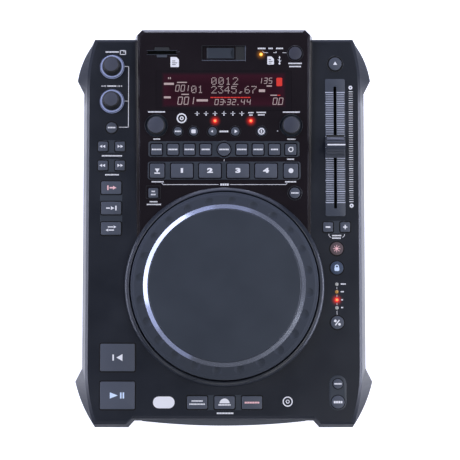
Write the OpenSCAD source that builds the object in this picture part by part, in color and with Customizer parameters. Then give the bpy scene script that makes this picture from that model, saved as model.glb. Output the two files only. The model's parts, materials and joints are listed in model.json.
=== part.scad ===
// Tabletop disc player for DJs: a low case with flared corners, a jog wheel, a pitch fader,
// rows of keys and a raised wedge that carries the display.
// Millimetres. X runs to the right, Y to the rear, Z up from the table.

/* [Case] */
// Height of the flat deck above the table
deck_z = 84; // [82:0.5:88]
// Width of the deck between its straight side edges
deck_w = 242.8; // [240:0.2:250]
// Depth of the deck in front of the jog mode keys
front_margin = 11.1; // [10:0.1:13]
// Height of the seam between bottom case and top case
seam_z = 50; // [48:0.5:52]
// Wall and deck thickness of the moulded cases
wall = 3; // [2.6:0.1:3.4]
// Width of the chamfer round the deck
chamfer_w = 2.6; // [2:0.1:3]
// Height of the chamfer round the deck
chamfer_h = 2.5; // [2:0.1:3]
// How far the side walls stand out at the seam, from the deck's edge
side_reach = 8.1; // [6:0.1:9]
// How far the front corners stand out at the seam, from the deck's front edge
front_reach = 6.9; // [6:0.1:8]
// How far the rear wall stands out at the seam, from the deck's rear edge
back_reach = 2.8; // [2.6:0.1:3.2]
// How far the corner flares stand out from the side walls
flare = 6.1; // [3:0.1:8]
// How far the deck's corners curve in
corner_in = 7.2; // [5:0.1:9]
// How far the middle of the front edge steps back
front_step = 5; // [4:0.5:6]
// Half width of the front edge's stepped-back middle
step_half = 85.6; // [84:0.2:87]
// Height of the upright band above the seam
rim_h = 3; // [2:0.5:4]
// Inset of the case's foot, all round
base_inset = 4; // [3:0.5:5]
// Height of the rubber feet
foot_h = 5; // [4:0.5:7]
// Radius of the rubber feet
foot_r = 10; // [8:0.5:12]

/* [Display wedge] */
// Height of the wedge above the deck, at the deck's rear edge
wedge_rise = 11.1; // [10:0.1:12]
// Height of the wedge's front tips above the deck
wedge_tip = 0.6; // [0.4:0.1:1]
// Half width of the wedge's top face
wedge_half = 75.4; // [74.6:0.1:76]
// How far the wedge stands out behind the deck's rear edge
rear_reach = 8.9; // [8.9:0.1:10]
// Width of the bevel round the wedge's top face
bevel_w = 2.5; // [1.5:0.1:3]
// Height of that bevel
bevel_h = 1.8; // [1.2:0.1:2.2]
// Size of the cut rear corners
wedge_cut = 4.5; // [3:0.1:6]
// Thickness of the wedge's top skin
skin = 2.5; // [2.2:0.1:2.8]
// Width of the display window
window_w = 122; // [116:1:124]
// Depth of the display window
window_d = 36; // [33:1:37]

/* [Jog wheel] */
// Radius of the jog wheel
jog_r = 82.3; // [80:0.1:83]
// Height of the touch plate above the deck
jog_h = 20; // [18:0.5:22]
// Radius of the touch plate
plate_r = 67.5; // [65:0.5:69]
// Thickness of the touch plate
plate_t = 2.3; // [2:0.1:2.6]
// Place of the jog's centre to the right of the middle line
jog_x = 0.8; // [0:0.1:1]
// Gap between the jog mode keys and the bezel ring's foot
mode_gap = 9.5; // [8:0.1:12]
// Gap between the wheel and the bezel ring
jog_gap = 2.7; // [2:0.1:3]
// Width of the bezel ring's flat top
bezel_w = 2.4; // [2:0.1:3]
// Height of the bezel ring above the deck
bezel_h = 2.4; // [2:0.1:2.8]
// Radius of the bearing post
post_r = 8; // [6:0.5:10]
// Number of finger dimples
dimple_count = 24; // [18:1:30]

/* [Pitch fader] */
// Travel of the pitch fader
fader_travel = 100; // [90:1:104]
// Place of the cap off the middle of its travel
fader_rest = 0.5; // [0:0.1:2]
// Width of the fader cap
cap_w = 16.4; // [15:0.1:18]
// Length of the fader cap along its travel
cap_l = 20.2; // [18:0.1:21]
// Height of the fader cap above the deck
cap_h = 14.5; // [12:0.5:16]
// Width of the fader slot
slot_w = 2.6; // [2.4:0.1:3]
// Height of the raised plate under the cap
fader_pad_h = 0.6; // [0.4:0.1:0.8]

/* [Keys and knobs] */
// Height of the keys above their panel
key_proud = 1.2; // [0.8:0.1:1.6]
// Gap round each key
key_gap = 0.35; // [0.3:0.01:0.4]
// Travel of the keys
key_travel = 1; // [0.8:0.1:1]
// Corner radius of the square keys
key_corner = 1.2; // [0.8:0.1:1.6]
// Width of the small square keys
small_key = 8.7; // [8:0.1:9]
// Width of the effect keys
effect_key = 9.9; // [9:0.1:10.2]
// Width of the hot cue keys
cue_key_w = 19.6; // [18:0.1:20]
// Depth of the hot cue keys
cue_key_d = 12.8; // [12:0.1:13.2]
// Width of the loop keys
loop_key_w = 17.9; // [17:0.1:18.4]
// Depth of the loop keys
loop_key_d = 11.4; // [10.6:0.1:12]
// Width of the play and cue keys
play_key_w = 30.8; // [29:0.1:31.4]
// Depth of the play and cue keys
play_key_d = 24.4; // [23:0.1:25]
// Diameter of the large round keys
round_key = 11.6; // [11:0.1:12]
// Diameter of the small round keys under the display
tiny_key = 7.7; // [7:0.1:8]
// Diameter of the large knobs at their foot
big_knob = 16.8; // [16:0.1:17.2]
// Diameter of the large knobs at their top
big_knob_top = 13.8; // [13:0.1:15]
// Height of the large knobs above the deck
big_knob_h = 12; // [10:0.5:14]
// Diameter of the small knobs
small_knob = 15.5; // [14:0.1:16]
// Height of the small knobs above the wedge
small_knob_h = 7.5; // [6:0.5:9]

/* [Disc slot] */
// Width of the disc slot
slot_disc_w = 124; // [122:0.5:126]
// Height of the disc slot
slot_disc_h = 5.6; // [5.2:0.1:6]
// Height of the slot's middle above the table
slot_disc_z = 47; // [46.5:0.1:48]
// Height of the front fascia
fascia_h = 24; // [20:0.5:26]
// How far the fascia bulges at its middle
fascia_bulge = 4.2; // [3:0.1:4.6]

/* [Rear panel] */
// Radius of the phono jack shells
phono_r = 4.15; // [4.15:0.01:4.2]
// Length of the phono jack shells beyond their nuts
phono_l = 7.4; // [6.5:0.1:7.8]
// Radius of the remote start sockets
mini_r = 1.8; // [1.8:0.01:1.85]
// Pitch of the phono jacks
phono_pitch = 18; // [16:0.5:20]

/* [Hidden] */
$fn = 64;
eps = 0.01;
case_grey = "#2b303a";
wedge_black = "#221f25";
key_grey = "#555a64";
jog_grey = "#39404a";
metal = "#9ba0a8";
board_green = "#1f5a3a";
rubber_black = "#17181a";

// clearances
seat_gap = 0.3;
run_gap = 0.06;
fit_gap = 0.15;

// how far a cutter runs past what it cuts, and how finely the large circles are divided
overshoot = 20;
fine_fn = 128;
ball_fn = 48;
bow_fn = 256;

// levels
deck_half = deck_w / 2;
rim_z = seam_z + rim_h;
base_z = foot_h;
foot_chamfer = 2;
floor_z = base_z + wall;
board_depth = 8.4;
board_t = 1.6;
board_z = deck_z - board_depth;

// rings round the jog wheel
bezel_skirt = 1;
bezel_in = jog_r + jog_gap;
bezel_top = bezel_in + bezel_w;
bezel_foot = bezel_top + bezel_skirt;
wedge_cut_r = bezel_foot + seat_gap;

// rows of the wedge, counted along its slope from the deck's rear edge
recess_d = 12.9;
knob_well_rim = 2.3;
knob_well_d = small_knob + 2 * knob_well_rim;
port_margin = 5.85;
source_off = 0.2;
card_off = 0.5;
window_gap = 9.55;
knob_gap = 3.35;
tiny_off = 5.2;
effect_gap = 6.5;
cue_row_gap = 7.75;
cue_gap = 8.2;
bank_gap = 9.25;
port_v = -port_margin - recess_d / 2;
source_v = port_v - source_off;
card_v = port_v + card_off;
window_v = port_v - recess_d / 2 - window_gap - window_d / 2;
knob_v = window_v - window_d / 2 - knob_gap - knob_well_d / 2;
tiny_v = knob_v - tiny_off;
effect_v = knob_v - knob_well_d / 2 - effect_gap - effect_key / 2;
cue_row_v = effect_v - effect_key / 2 - cue_row_gap - cue_key_d / 2;
bank_v = cue_row_v - cue_key_d / 2 - bank_gap - small_key / 2;
wedge_room = cue_key_d / 2 - cue_row_v + cue_gap;

// depth of the deck, from the rows that it carries
jog_from_front = front_margin + loop_key_d + mode_gap + bezel_foot;
deck_d = jog_from_front + wedge_cut_r + wedge_room;
deck_y = (front_reach - rear_reach) / 2;
deck_rear = deck_y + deck_d / 2;
deck_front = deck_y - deck_d / 2;
jog_y = deck_front + jog_from_front;

// control board
board_edge = 10.4;
board_front_gap = 0.5;
board_rear_gap = 2;
board_front_bar = 42;
board_rear_bar = 20;
board_front = deck_front + front_step + wall + board_front_gap;
board_rear = deck_rear - wall - board_rear_gap;

// case outline: one ring of points for each level
arc_n = 8;
tip_rear = 30.4;
tip_front = 34.4;
pinch = 12;
deck_bulge = 1;
flare_bulge = 2.1;
seam_step = 0.6;
step_run = 5.4;
step_spread = 1.3;
front_wall_lean = 1;
front_wall_y = deck_front + front_step - front_reach + front_wall_lean;
rear_corner_run = 6.9;
front_corner_run = 12.2;
hollow_step = 2;
hollow_in = 0.5;
deck_tip_in = 0.5;
deck_corner_out = 0.4;
seam_corner_out = 1.2;

function arc_point(p, q, bulge, t) =
    let (d = q - p, n = [-d[1], d[0]] / norm(d))
    p + d * t + n * 4 * bulge * t * (1 - t);

// right half of a ring, from the rear edge round to the front edge
function half_ring(half, tip, rear_x, front_x, rear, front, bulge) = concat(
    [for (i = [0 : arc_n]) arc_point([rear_x, rear], [tip, deck_rear - tip_rear], bulge, i / arc_n)],
    [[half, deck_rear - tip_rear - pinch], [half, deck_front + tip_front + pinch]],
    [for (i = [0 : arc_n]) arc_point([tip, deck_front + tip_front], [front_x, front], bulge, i / arc_n)]
);

function whole_ring(half, z) = concat(
    [for (p = half) [p[0], p[1], z]],
    [for (i = [len(half) - 1 : -1 : 0]) [-half[i][0], half[i][1], z]]
);

// ring at the deck, pushed out by o
function deck_ring(o, z) = whole_ring(half_ring(
    deck_half + o, deck_half - deck_tip_in + o,
    deck_half - rear_corner_run + o, deck_half - corner_in - deck_corner_out + o,
    deck_rear + o, deck_front - o, deck_bulge), z);

// ring at the seam, pushed out by o
function seam_ring(o, z) = whole_ring(half_ring(
    deck_half + side_reach + o, deck_half + side_reach + flare + o,
    deck_half + seam_corner_out + o, deck_half + side_reach - front_corner_run + o,
    deck_rear + back_reach + o, deck_front - front_reach - o, flare_bulge), z);

// rings of the step in the front edge, pushed out by o and widened by w at each side
function step_ring(half, front, back, z) =
    whole_ring([[half - step_run, back], [half, front], [half, front - 2 * step_run]], z);
function deck_step(o, w, z) = step_ring(step_half + w, deck_front - o, deck_front + front_step - o, z);
function seam_step_ring(o, w, z) =
    step_ring(step_half + step_spread + w, deck_front - front_reach - o, front_wall_y - o, z);

// two triangles between neighbouring points a and b of a lower and an upper ring
function wall_faces(low, high, a, b, rising) = rising
    ? [[low + a, low + b, high + b], [low + a, high + b, high + a]]
    : [[low + a, low + b, high + a], [low + b, high + b, high + a]];

// closed solid through a list of rings with equally many points, bottom ring first,
// each ring the mirror image of itself across the middle line
module loft(rings) {
    n = len(rings[0]);
    k = len(rings);
    polyhedron(
        points = [for (r = rings) for (p = r) p],
        faces = concat(
            [for (i = [0 : n / 2 - 2]) [n - 1 - i, n - 2 - i, i + 1, i]],
            [for (j = [0 : k - 2]) for (i = [0 : n - 1])
                each wall_faces(j * n, (j + 1) * n, i, (i + 1) % n, i < n / 2)],
            [for (i = [0 : n / 2 - 2]) [for (e = [i, i + 1, n - 2 - i, n - 1 - i]) (k - 1) * n + e]]
        ),
        convexity = 6
    );
}

// jog wheel levels and radii
well_depth = 2;
well_z = deck_z - well_depth;
plate_z = deck_z + jog_h;
web_z = plate_z - plate_t;
web_t = 3;
rim_drop = 5.2;
rim_top = plate_z - rim_drop;
ring_bevel = 4.8;
ring_drop = 2.6;
rim_in = plate_r + ring_bevel;
ring_lip = 0.5;
rim_lift = 1.2;
rim_bottom = deck_z + rim_lift;
rim_wall = 5;
rim_round = [[2.2, 0.6], [0.6, -0.4], [0, -2.2]];
hub_wall = 7;
hub_r = post_r + hub_wall;
flange_w = 14;
flange_r = post_r + flange_w;
flange_t = 2.5;
post_gap = 0.4;
plate_edge = 0.4;
dimple_in = 5.6;
dimple_r = jog_r - dimple_in;
dimple_drop = 3.6;
dimple_size = 4.2;
dimple_ball = 9;
dimple_turn = -4.9;

// wedge: its top plane passes the deck's rear edge and its front tips
wedge_tip_back = 44;
wedge_front = jog_y + wedge_tip_back;
wedge_angle = atan((wedge_rise - wedge_tip) / (deck_rear - wedge_front));
wedge_lean = 0.25;
rear_lip = 10;
wedge_wall = 3.9;
wedge_back = 4;
wedge_min = 0.1;
opening_rim = 3.35;
opening_lip = 2.2;
opening_half = wedge_half - wedge_wall;
opening_d = small_key / 2 - bank_v + opening_rim - wedge_back;
function wedge_z(y) = deck_z + wedge_tip + (y - wedge_front) * tan(wedge_angle);

// pitch fader
stem_x = 1.6;
stem_y = 10;
fader_end = 0.4;
slot_l = fader_travel + stem_y + 2 * fader_end;
pad_w = 17.8;
pad_rim = 6.9;
pad_l = slot_l + 2 * pad_rim;
pad_corner = 1.5;
pot_w = 13;
pot_end = 8;
pot_h = 3.6;
pot_floor = 1;
cap_gap = 0.5;
cap_steps = [[0, 0], [0, 1.9], [1, 2.7], [2.8, 2.2], [3.3, 3.6], [5.2, 3.5], [5.7, 4.9]];
ridge_foot = 3.1;
ridge_start = 5.6;
ridge_half = 2.6;
ridge_h = 4;
ridge_top = 1.1;
stem_floor = 1.4;
stem_lap = 0.2;

// left column of the deck, from the rear edge
left_in = 20.2;
play_in = 26.8;
pair_x = 7.7;
folder_in = 22.7;
track_pitch = 31.5;
advance_pitch = 24.3;
skip_pitch = 17.1;
search_pitch = 17.3;
loop_row_pitch = 20.2;
loop_pitch = 18.4;
left_x = left_in - deck_half;
play_x = play_in - deck_half;
folder_y = deck_rear - folder_in;
track_y = folder_y - track_pitch;
advance_y = track_y - advance_pitch;
skip_y = advance_y - skip_pitch;
search_y = skip_y - search_pitch;
loop_in_y = search_y - loop_row_pitch;

// front keys, from the front edge
play_front = 23.1;
play_pitch = 33.6;
tap_front = 17.2;
bpm_pitch = 16.2;
mode_pitch = 24.4;
play_y = deck_front + play_front;
cue_y = play_y + play_pitch;
mode_y = deck_front + front_margin + loop_key_d / 2;
tap_y = deck_front + tap_front;
bpm_y = tap_y + bpm_pitch;

// right column of the deck, from the rear edge
right_in = 20;
eject_in = 20.2;
fader_in = 20.8;
fader_gap = 8.1;
pitch_gap = 5.55;
tempo_pitch = 19.4;
lock_pitch = 17.3;
range_pitch = 48.9;
right_x = deck_half - right_in;
fader_x = deck_half - fader_in;
eject_y = deck_rear - eject_in;
fader_y = eject_y - round_key / 2 - fader_gap - pad_l / 2;
pitch_y = fader_y - pad_l / 2 - pitch_gap - small_key / 2;
tempo_y = pitch_y - tempo_pitch;
lock_y = tempo_y - lock_pitch;
range_y = lock_y - range_pitch;
eject_off = -0.5;
range_off = 0.2;
tap_off = 0.4;
big_small_key = small_key + 1;
dump_key = small_key + 0.9;

// a key: place, width and depth; a round key has no depth
k_play = [play_x, play_y, play_key_w, play_key_d];
k_cue = [play_x, cue_y, play_key_w, play_key_d];
k_in = [left_x, loop_in_y, loop_key_w, loop_key_d];
k_out = [left_x, loop_in_y - loop_pitch, loop_key_w, loop_key_d];
k_reloop = [left_x, loop_in_y - 2 * loop_pitch, loop_key_w, loop_key_d];
k_advance = [left_x, advance_y, big_small_key, 0];
k_back = [left_x - pair_x, skip_y, small_key, small_key];
k_forward = [left_x + pair_x, skip_y, small_key, small_key];
k_search_back = [left_x - pair_x, search_y, small_key, small_key];
k_search_forward = [left_x + pair_x, search_y, small_key, small_key];
k_eject = [right_x + eject_off, eject_y, round_key, 0];
k_pitch_down = [right_x - pair_x, pitch_y, small_key, small_key];
k_pitch_up = [right_x + pair_x, pitch_y, small_key, small_key];
k_tempo = [right_x, tempo_y, round_key, 0];
k_lock = [right_x, lock_y, round_key, 0];
k_range = [right_x + range_off, range_y, round_key, 0];
k_bpm = [right_x + tap_off, bpm_y, small_key, 0];
k_tap = [right_x + tap_off, tap_y, round_key, 0];
function k_mode(i) = [jog_x + i * mode_pitch, mode_y, loop_key_w, loop_key_d];

deck_keys = [k_play, k_cue, k_in, k_out, k_reloop, k_advance, k_back, k_forward, k_search_back,
    k_search_forward, k_eject, k_pitch_down, k_pitch_up, k_tempo, k_lock, k_range, k_bpm, k_tap,
    k_mode(-1), k_mode(0), k_mode(1)];

// places across the wedge, from its middle line
effect_pitch = 14.7;
effect_first = 16.2;
cue_pitch = 25.2;
row_x = 0.3;
knob_x = 60.6;
tiny_xs = [-41.2, -27.1, -10, 10.4, 33.9];
source_in = 11.1;
memory_x = -59.7;
sampler_x = 60.4;
bank_x = -63.2;
dump_x = 63.9;
card_x = -55.6;

k_source = [wedge_half - source_in, source_v, round_key, 0];
function effect_x(i) = i < 4 ? -effect_first - (3 - i) * effect_pitch : effect_first + (i - 4) * effect_pitch;
function k_effect(i) = [effect_x(i), effect_v, effect_key, effect_key];
k_hold = [row_x, effect_v, round_key, 0];
k_memory = [memory_x, cue_row_v, cue_key_d, cue_key_d];
function k_hot_cue(i) = [row_x + (i - 1.5) * cue_pitch, cue_row_v, cue_key_w, cue_key_d];
k_sampler = [sampler_x, cue_row_v, cue_key_d, cue_key_d];
k_bank = [bank_x, bank_v, small_key, small_key];
k_dump = [dump_x, bank_v, dump_key, 0];

wedge_keys = concat([k_source, k_hold, k_memory, k_sampler, k_bank, k_dump],
    [for (i = [0 : 7]) k_effect(i)], [for (i = [0 : 3]) k_hot_cue(i)],
    [for (x = tiny_xs) [x, tiny_v, tiny_key, 0]]);

// key section
key_flange_w = 1;
key_flange_t = 1;
stem_w = 3;
stem_gap = 0.3;
stem_sink = 0.5;

// fittings of the wedge: bosses, card slot, memory stick port, knob wells and display
boss_row_1 = 13.2;
boss_row_2 = 1.3;
boss_row_3 = 8.9;
wedge_boss_vs = [port_v - boss_row_1, window_v - window_d / 2 - boss_row_2, effect_v - boss_row_3];
wedge_boss_r = 2.2;
card_w = 26;
card_h = 3;
card_notch_w = 14;
card_notch_d = 5.1;
card_notch_h = 1;
card_tab_w = 10;
card_tab_d = 4.5;
card_socket_wall = 1.2;
card_socket_d = 6;
card_socket_floor = 1;
card_socket_gap = 0.1;
recess_w = 39;
recess_h = 1.7;
lid_w = 23.7;
lid_d = 9.4;
lid_x = -2.4;
lid_t = 1.5;
lid_lift = 0.1;
lid_notch_r = 6;
lid_notch_in = 3;
lid_notch_floor = 0.6;
lid_pin_r = 0.5;
lid_barrel_r = 0.75;
lid_pin_l = 1.2;
lid_pin_out = 0.4;
lid_pin_x = lid_x - lid_w / 2 - lid_pin_out;
lug_w = 2.4;
lug_h = 1.9;
lug_drop = 0.1;
port_w = 14;
port_d = 7;
port_wall = 1.4;
port_wall_top = 1;
port_depth = 7;
well_wall = 1;
well_floor_t = 2;
socket_w = 15;
socket_d = 9;
socket_h = 9;
plug_w = 12.6;
plug_d = 5.2;
plug_depth = 8;
lens_edge = 4;
lens_end = 3;
display_rim = 1;
display_end = 2;
display_jog_gap = 5;
display_port_w = 15.2;
display_port_d = 9.2;

// knobs
shaft_r = 3;
bush_r = 5;
trim_ring_w = 2.3;
trim_ring_h = 1.6;
knob_clear = 0.4;
knob_well_h = 1.4;
knob_skirt = 1.4;
knob_edge = 1;
knob_top_out = 0.3;
knob_top_in = 0.6;
knob_foot_out = 0.4;
shaft_sink = 0.5;

// screws
boss_r = 4.5;
screw_r = 1.5;
screw_head_r = 2.75;
screw_head_h = 2.2;
screw_l = 12;
screw_gap = 0.05;
screw_well = 0.5;
cross_l = 4;
cross_w = 0.8;
cross_h = 1;
boss_floor = 3.5;
boss_gap = 1;
boss_clear = 0.5;
board_side = 1.5;
screw_rear_in = 10.5;
screw_side_in = 5.2;
screw_mid = 152;
screw_front = 46;
screw_beside_plate = 2;
standoff_r = 3;
standoff_side = 10.5;
standoff_rear = 30;
standoff_mid = 110;
standoff_fore = 132;
standoff_front = 22;
standoff_front_x = 60;
standoffs = [[opening_half + standoff_side, deck_rear - standoff_rear],
    [opening_half + standoff_side, deck_rear - standoff_mid],
    [opening_half + standoff_side, deck_front + standoff_fore],
    [standoff_front_x, deck_front + standoff_front]];
foot_in = 22;
foot_end = 30;
foot_edge = 1.5;
foot_round = 1;

// front fascia
fascia_side = 12;
fascia_half = slot_disc_w / 2 + fascia_side;
fascia_in = 6;
fascia_lift = 1;
fascia_z = slot_disc_z - fascia_h / 2 + fascia_lift;

// disc drive
drive_side = 11;
drive_w = slot_disc_w + 2 * drive_side;
drive_gap = 1.2;
drive_front = front_wall_y + fascia_in + drive_gap;
drive_d = 184;
drive_below = 21;
drive_base = slot_disc_z - drive_below;
drive_h = 38;
sheet = 1.2;
leg_r = 4;
leg_in_x = 8;
leg_in_y = 14;
disc_r = 60;
disc_gap = 0.5;
spindle_in = 12;
spindle_y = drive_front + disc_r + spindle_in;
motor_r = 16;
clamp_r = 15;
roller_r = 4;
roller_gap = 0.2;
roller_in = 9;
roller_end = 3;
roller_block_w = 8;
roller_block_d = 10;
roller_block_in = 4;
roller_block_side = 3;
guide_in = 5;
guide_d = 8;
sled_w = 48;
sled_d = 46;
sled_h = 8;
sled_in = 20;
lens_w = 28;
lens_d = 26;
lens_h = 5;
lens_in = 26;

// rear panel
plate_out = 0.2;
rear_y = deck_rear + back_reach - seam_step - base_inset + plate_out;
jack_plate_h = 27;
jack_plate_t = 2;
jack_lift = 24;
jack_z = base_z + jack_lift;
nut_t = 2;
nut_r = 5.6;
phono_bore = 1.65;
phono_core = 0.6;
phono_body = 12;
phono_body_d = 11;
mini_nut_r = 4;
mini_body = 9;
mini_body_d = 13;
mini_depth = 14;
mini_pitch = 15;
inlet_w = 28;
inlet_h = 21;
inlet_depth = 20;
inlet_wall_x = 1.8;
inlet_wall_z = 2.2;
inlet_back = 2;
inlet_rim = 1.5;
blade_w = 2;
blade_h = 4;
blade_back = 7;
blades = [[-7, -1.5], [7, -1.5], [0, 2.5]];
switch_w = 18;
switch_h = 11;
switch_tilt = 6;
switch_frame = 2;
switch_body_d = 12;
switch_pit = 10.5;
switch_pin_r = 1;
switch_pin_l = 1;
switch_pivot = 2;
switch_side = 0.2;
switch_slim = 0.4;
switch_back = 3;
switch_end = 4.6;
switch_middle = 3.6;
bezel_out = 1.5;
phono_edge = 20;
phono_to_mini = 30;
mini_to_inlet = 23;
inlet_to_switch = 32;
switch_edge = 16;
jack_plate_w = phono_edge + 2 * phono_pitch + phono_to_mini + mini_pitch + mini_to_inlet
    + inlet_to_switch + switch_edge;
phono_x = phono_edge - jack_plate_w / 2;
mini_x = phono_x + 2 * phono_pitch + phono_to_mini;
inlet_x = mini_x + mini_pitch + mini_to_inlet;
switch_x = inlet_x + inlet_to_switch;
screw_spots = [[jack_plate_w / 2 + screw_beside_plate, deck_rear - screw_rear_in],
    [deck_half - screw_side_in, deck_front + screw_mid],
    [deck_half - screw_side_in, deck_front + screw_front]];

// supply board
supply_w = 92;
supply_d = 58;
supply_x = -56;
supply_rear = 52;
supply_lift = 5;
supply_y = deck_rear - supply_rear;
supply_z = floor_z + supply_lift;
supply_leg_in = 5;
vent_count = 9;
vent_pitch = 8;
vent_w = 3;
vent_l = 40;
transformer = [42, 36, 26];
transformer_at = [-34, -22];
capacitor_r = 5;
capacitor_h = 18;
capacitor_at = [18, -14];
capacitor_step = [11, 14];
encoder_w = 12;
encoder_h = 3;
bush_gap = 0.5;

// ---------- shared shapes ----------

module round_rect(w, d, r) {
    square([w - 2 * r, d], center = true);
    square([w, d - 2 * r], center = true);
    for (sx = [-1, 1]) {
        for (sy = [-1, 1]) {
            translate([sx * (w / 2 - r), sy * (d / 2 - r)]) circle(r);
        }
    }
}

module key_shape(k, grow) {
    if (k[3] == 0) {
        circle(d = k[2] + 2 * grow);
    } else {
        round_rect(k[2] + 2 * grow, k[3] + 2 * grow, key_corner);
    }
}

// holes for a list of keys, through a panel whose face is at z = 0
module key_holes(keys) {
    for (k = keys) {
        translate([k[0], k[1], -overshoot]) linear_extrude(2 * overshoot) key_shape(k, key_gap);
    }
}

// one key in a panel of the given thickness, over a board
module key_cap(k, panel) {
    top_of_flange = -panel - seat_gap;
    foot = -board_depth + key_travel + stem_gap;
    translate([k[0], k[1], 0]) {
        translate([0, 0, top_of_flange - key_flange_t]) {
            linear_extrude(key_proud - top_of_flange + key_flange_t) key_shape(k, 0);
            linear_extrude(key_flange_t) key_shape(k, key_flange_w);
        }
        translate([-stem_w / 2, -stem_w / 2, foot]) cube([stem_w, stem_w, top_of_flange - foot - stem_sink]);
    }
}

module on_deck() {
    translate([0, 0, deck_z]) children();
}

module on_wedge() {
    translate([0, deck_rear, deck_z + wedge_rise]) rotate([wedge_angle, 0, 0]) children();
}

module deck_key(k) {
    color(key_grey) on_deck() key_cap(k, wall);
}

module wedge_key(k) {
    color(key_grey) on_wedge() key_cap(k, skin);
}

module at_jog(z) {
    translate([jog_x, jog_y, z]) children();
}

module at_screws() {
    for (s = screw_spots) {
        for (side = [-1, 1]) {
            translate([side * s[0], s[1], 0]) children();
        }
    }
}

// ---------- case ----------

// outline of the window under the wedge
module wedge_opening(o) {
    difference() {
        translate([-opening_half - o, deck_rear - wedge_back - opening_d - o])
            square([2 * (opening_half + o), opening_d + 2 * o]);
        translate([jog_x, jog_y]) circle(wedge_cut_r + opening_lip - o, $fn = fine_fn);
    }
}

module top_case() {
    color(case_grey) difference() {
        union() {
            difference() {
                loft([seam_ring(0, seam_z), seam_ring(0, rim_z),
                    deck_ring(chamfer_w, deck_z - chamfer_h), deck_ring(0, deck_z)]);
                loft([seam_step_ring(0, 0, seam_z - 1), seam_step_ring(0, 0, rim_z),
                    deck_step(chamfer_w, chamfer_w / 2, deck_z - chamfer_h), deck_step(0, 0, deck_z),
                    deck_step(0, 0, deck_z + 1)]);
                // hollow
                difference() {
                    loft([seam_ring(-wall, seam_z - 1), seam_ring(-wall, rim_z),
                        deck_ring(hollow_in - wall, deck_z - wall - hollow_step),
                        deck_ring(-wall, deck_z - wall)]);
                    loft([seam_step_ring(-wall, wall / 2, seam_z - 2), seam_step_ring(-wall, wall / 2, rim_z),
                        deck_step(-wall, wall / 2, deck_z - wall), deck_step(-wall, wall / 2, deck_z)]);
                }
            }
            // ring and floor of the jog well
            at_jog(0) rotate_extrude($fn = fine_fn) polygon([
                [0, well_z - wall], [bezel_foot, well_z - wall], [bezel_foot, deck_z],
                [bezel_top, deck_z + bezel_h], [bezel_in, deck_z + bezel_h],
                [bezel_in, well_z], [0, well_z]]);
            // raised plate under the fader cap
            translate([fader_x, fader_y, deck_z - eps])
                linear_extrude(fader_pad_h + eps) round_rect(pad_w, pad_l, pad_corner);
            // trim rings of the two large knobs
            for (y = [folder_y, track_y]) {
                translate([left_x, y, deck_z - eps])
                    cylinder(h = trim_ring_h, r = big_knob / 2 + trim_ring_w);
            }
            for (s = standoffs) {
                for (side = [-1, 1]) {
                    translate([side * s[0], s[1], board_z])
                        cylinder(h = board_depth - boss_gap, r = standoff_r);
                }
            }
            at_screws() translate([0, 0, seam_z]) cylinder(h = deck_z - seam_z - boss_gap, r = boss_r);
        }
        at_jog(well_z) cylinder(h = overshoot, r = bezel_in, $fn = fine_fn);
        translate([0, 0, deck_z - overshoot]) linear_extrude(2 * overshoot) wedge_opening(0);
        on_deck() key_holes(deck_keys);
        translate([fader_x - slot_w / 2, fader_y - slot_l / 2, deck_z - overshoot])
            cube([slot_w, slot_l, 2 * overshoot]);
        for (y = [folder_y, track_y]) {
            translate([left_x, y, deck_z]) cylinder(h = overshoot, r = big_knob / 2 + knob_clear);
            translate([left_x, y, deck_z - overshoot])
                cylinder(h = 2 * overshoot, r = bush_r + fit_gap);
        }
        at_screws() translate([0, 0, seam_z - eps]) cylinder(h = screw_l + boss_gap, r = screw_r + screw_gap);
        fascia_notch();
    }
}

// cut in the front walls that takes the fascia
module fascia_notch() {
    translate([-fascia_half - fit_gap, front_wall_y - overshoot, fascia_z - fit_gap])
        cube([2 * (fascia_half + fit_gap), overshoot + fascia_in, fascia_h + 2 * fit_gap]);
}

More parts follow.
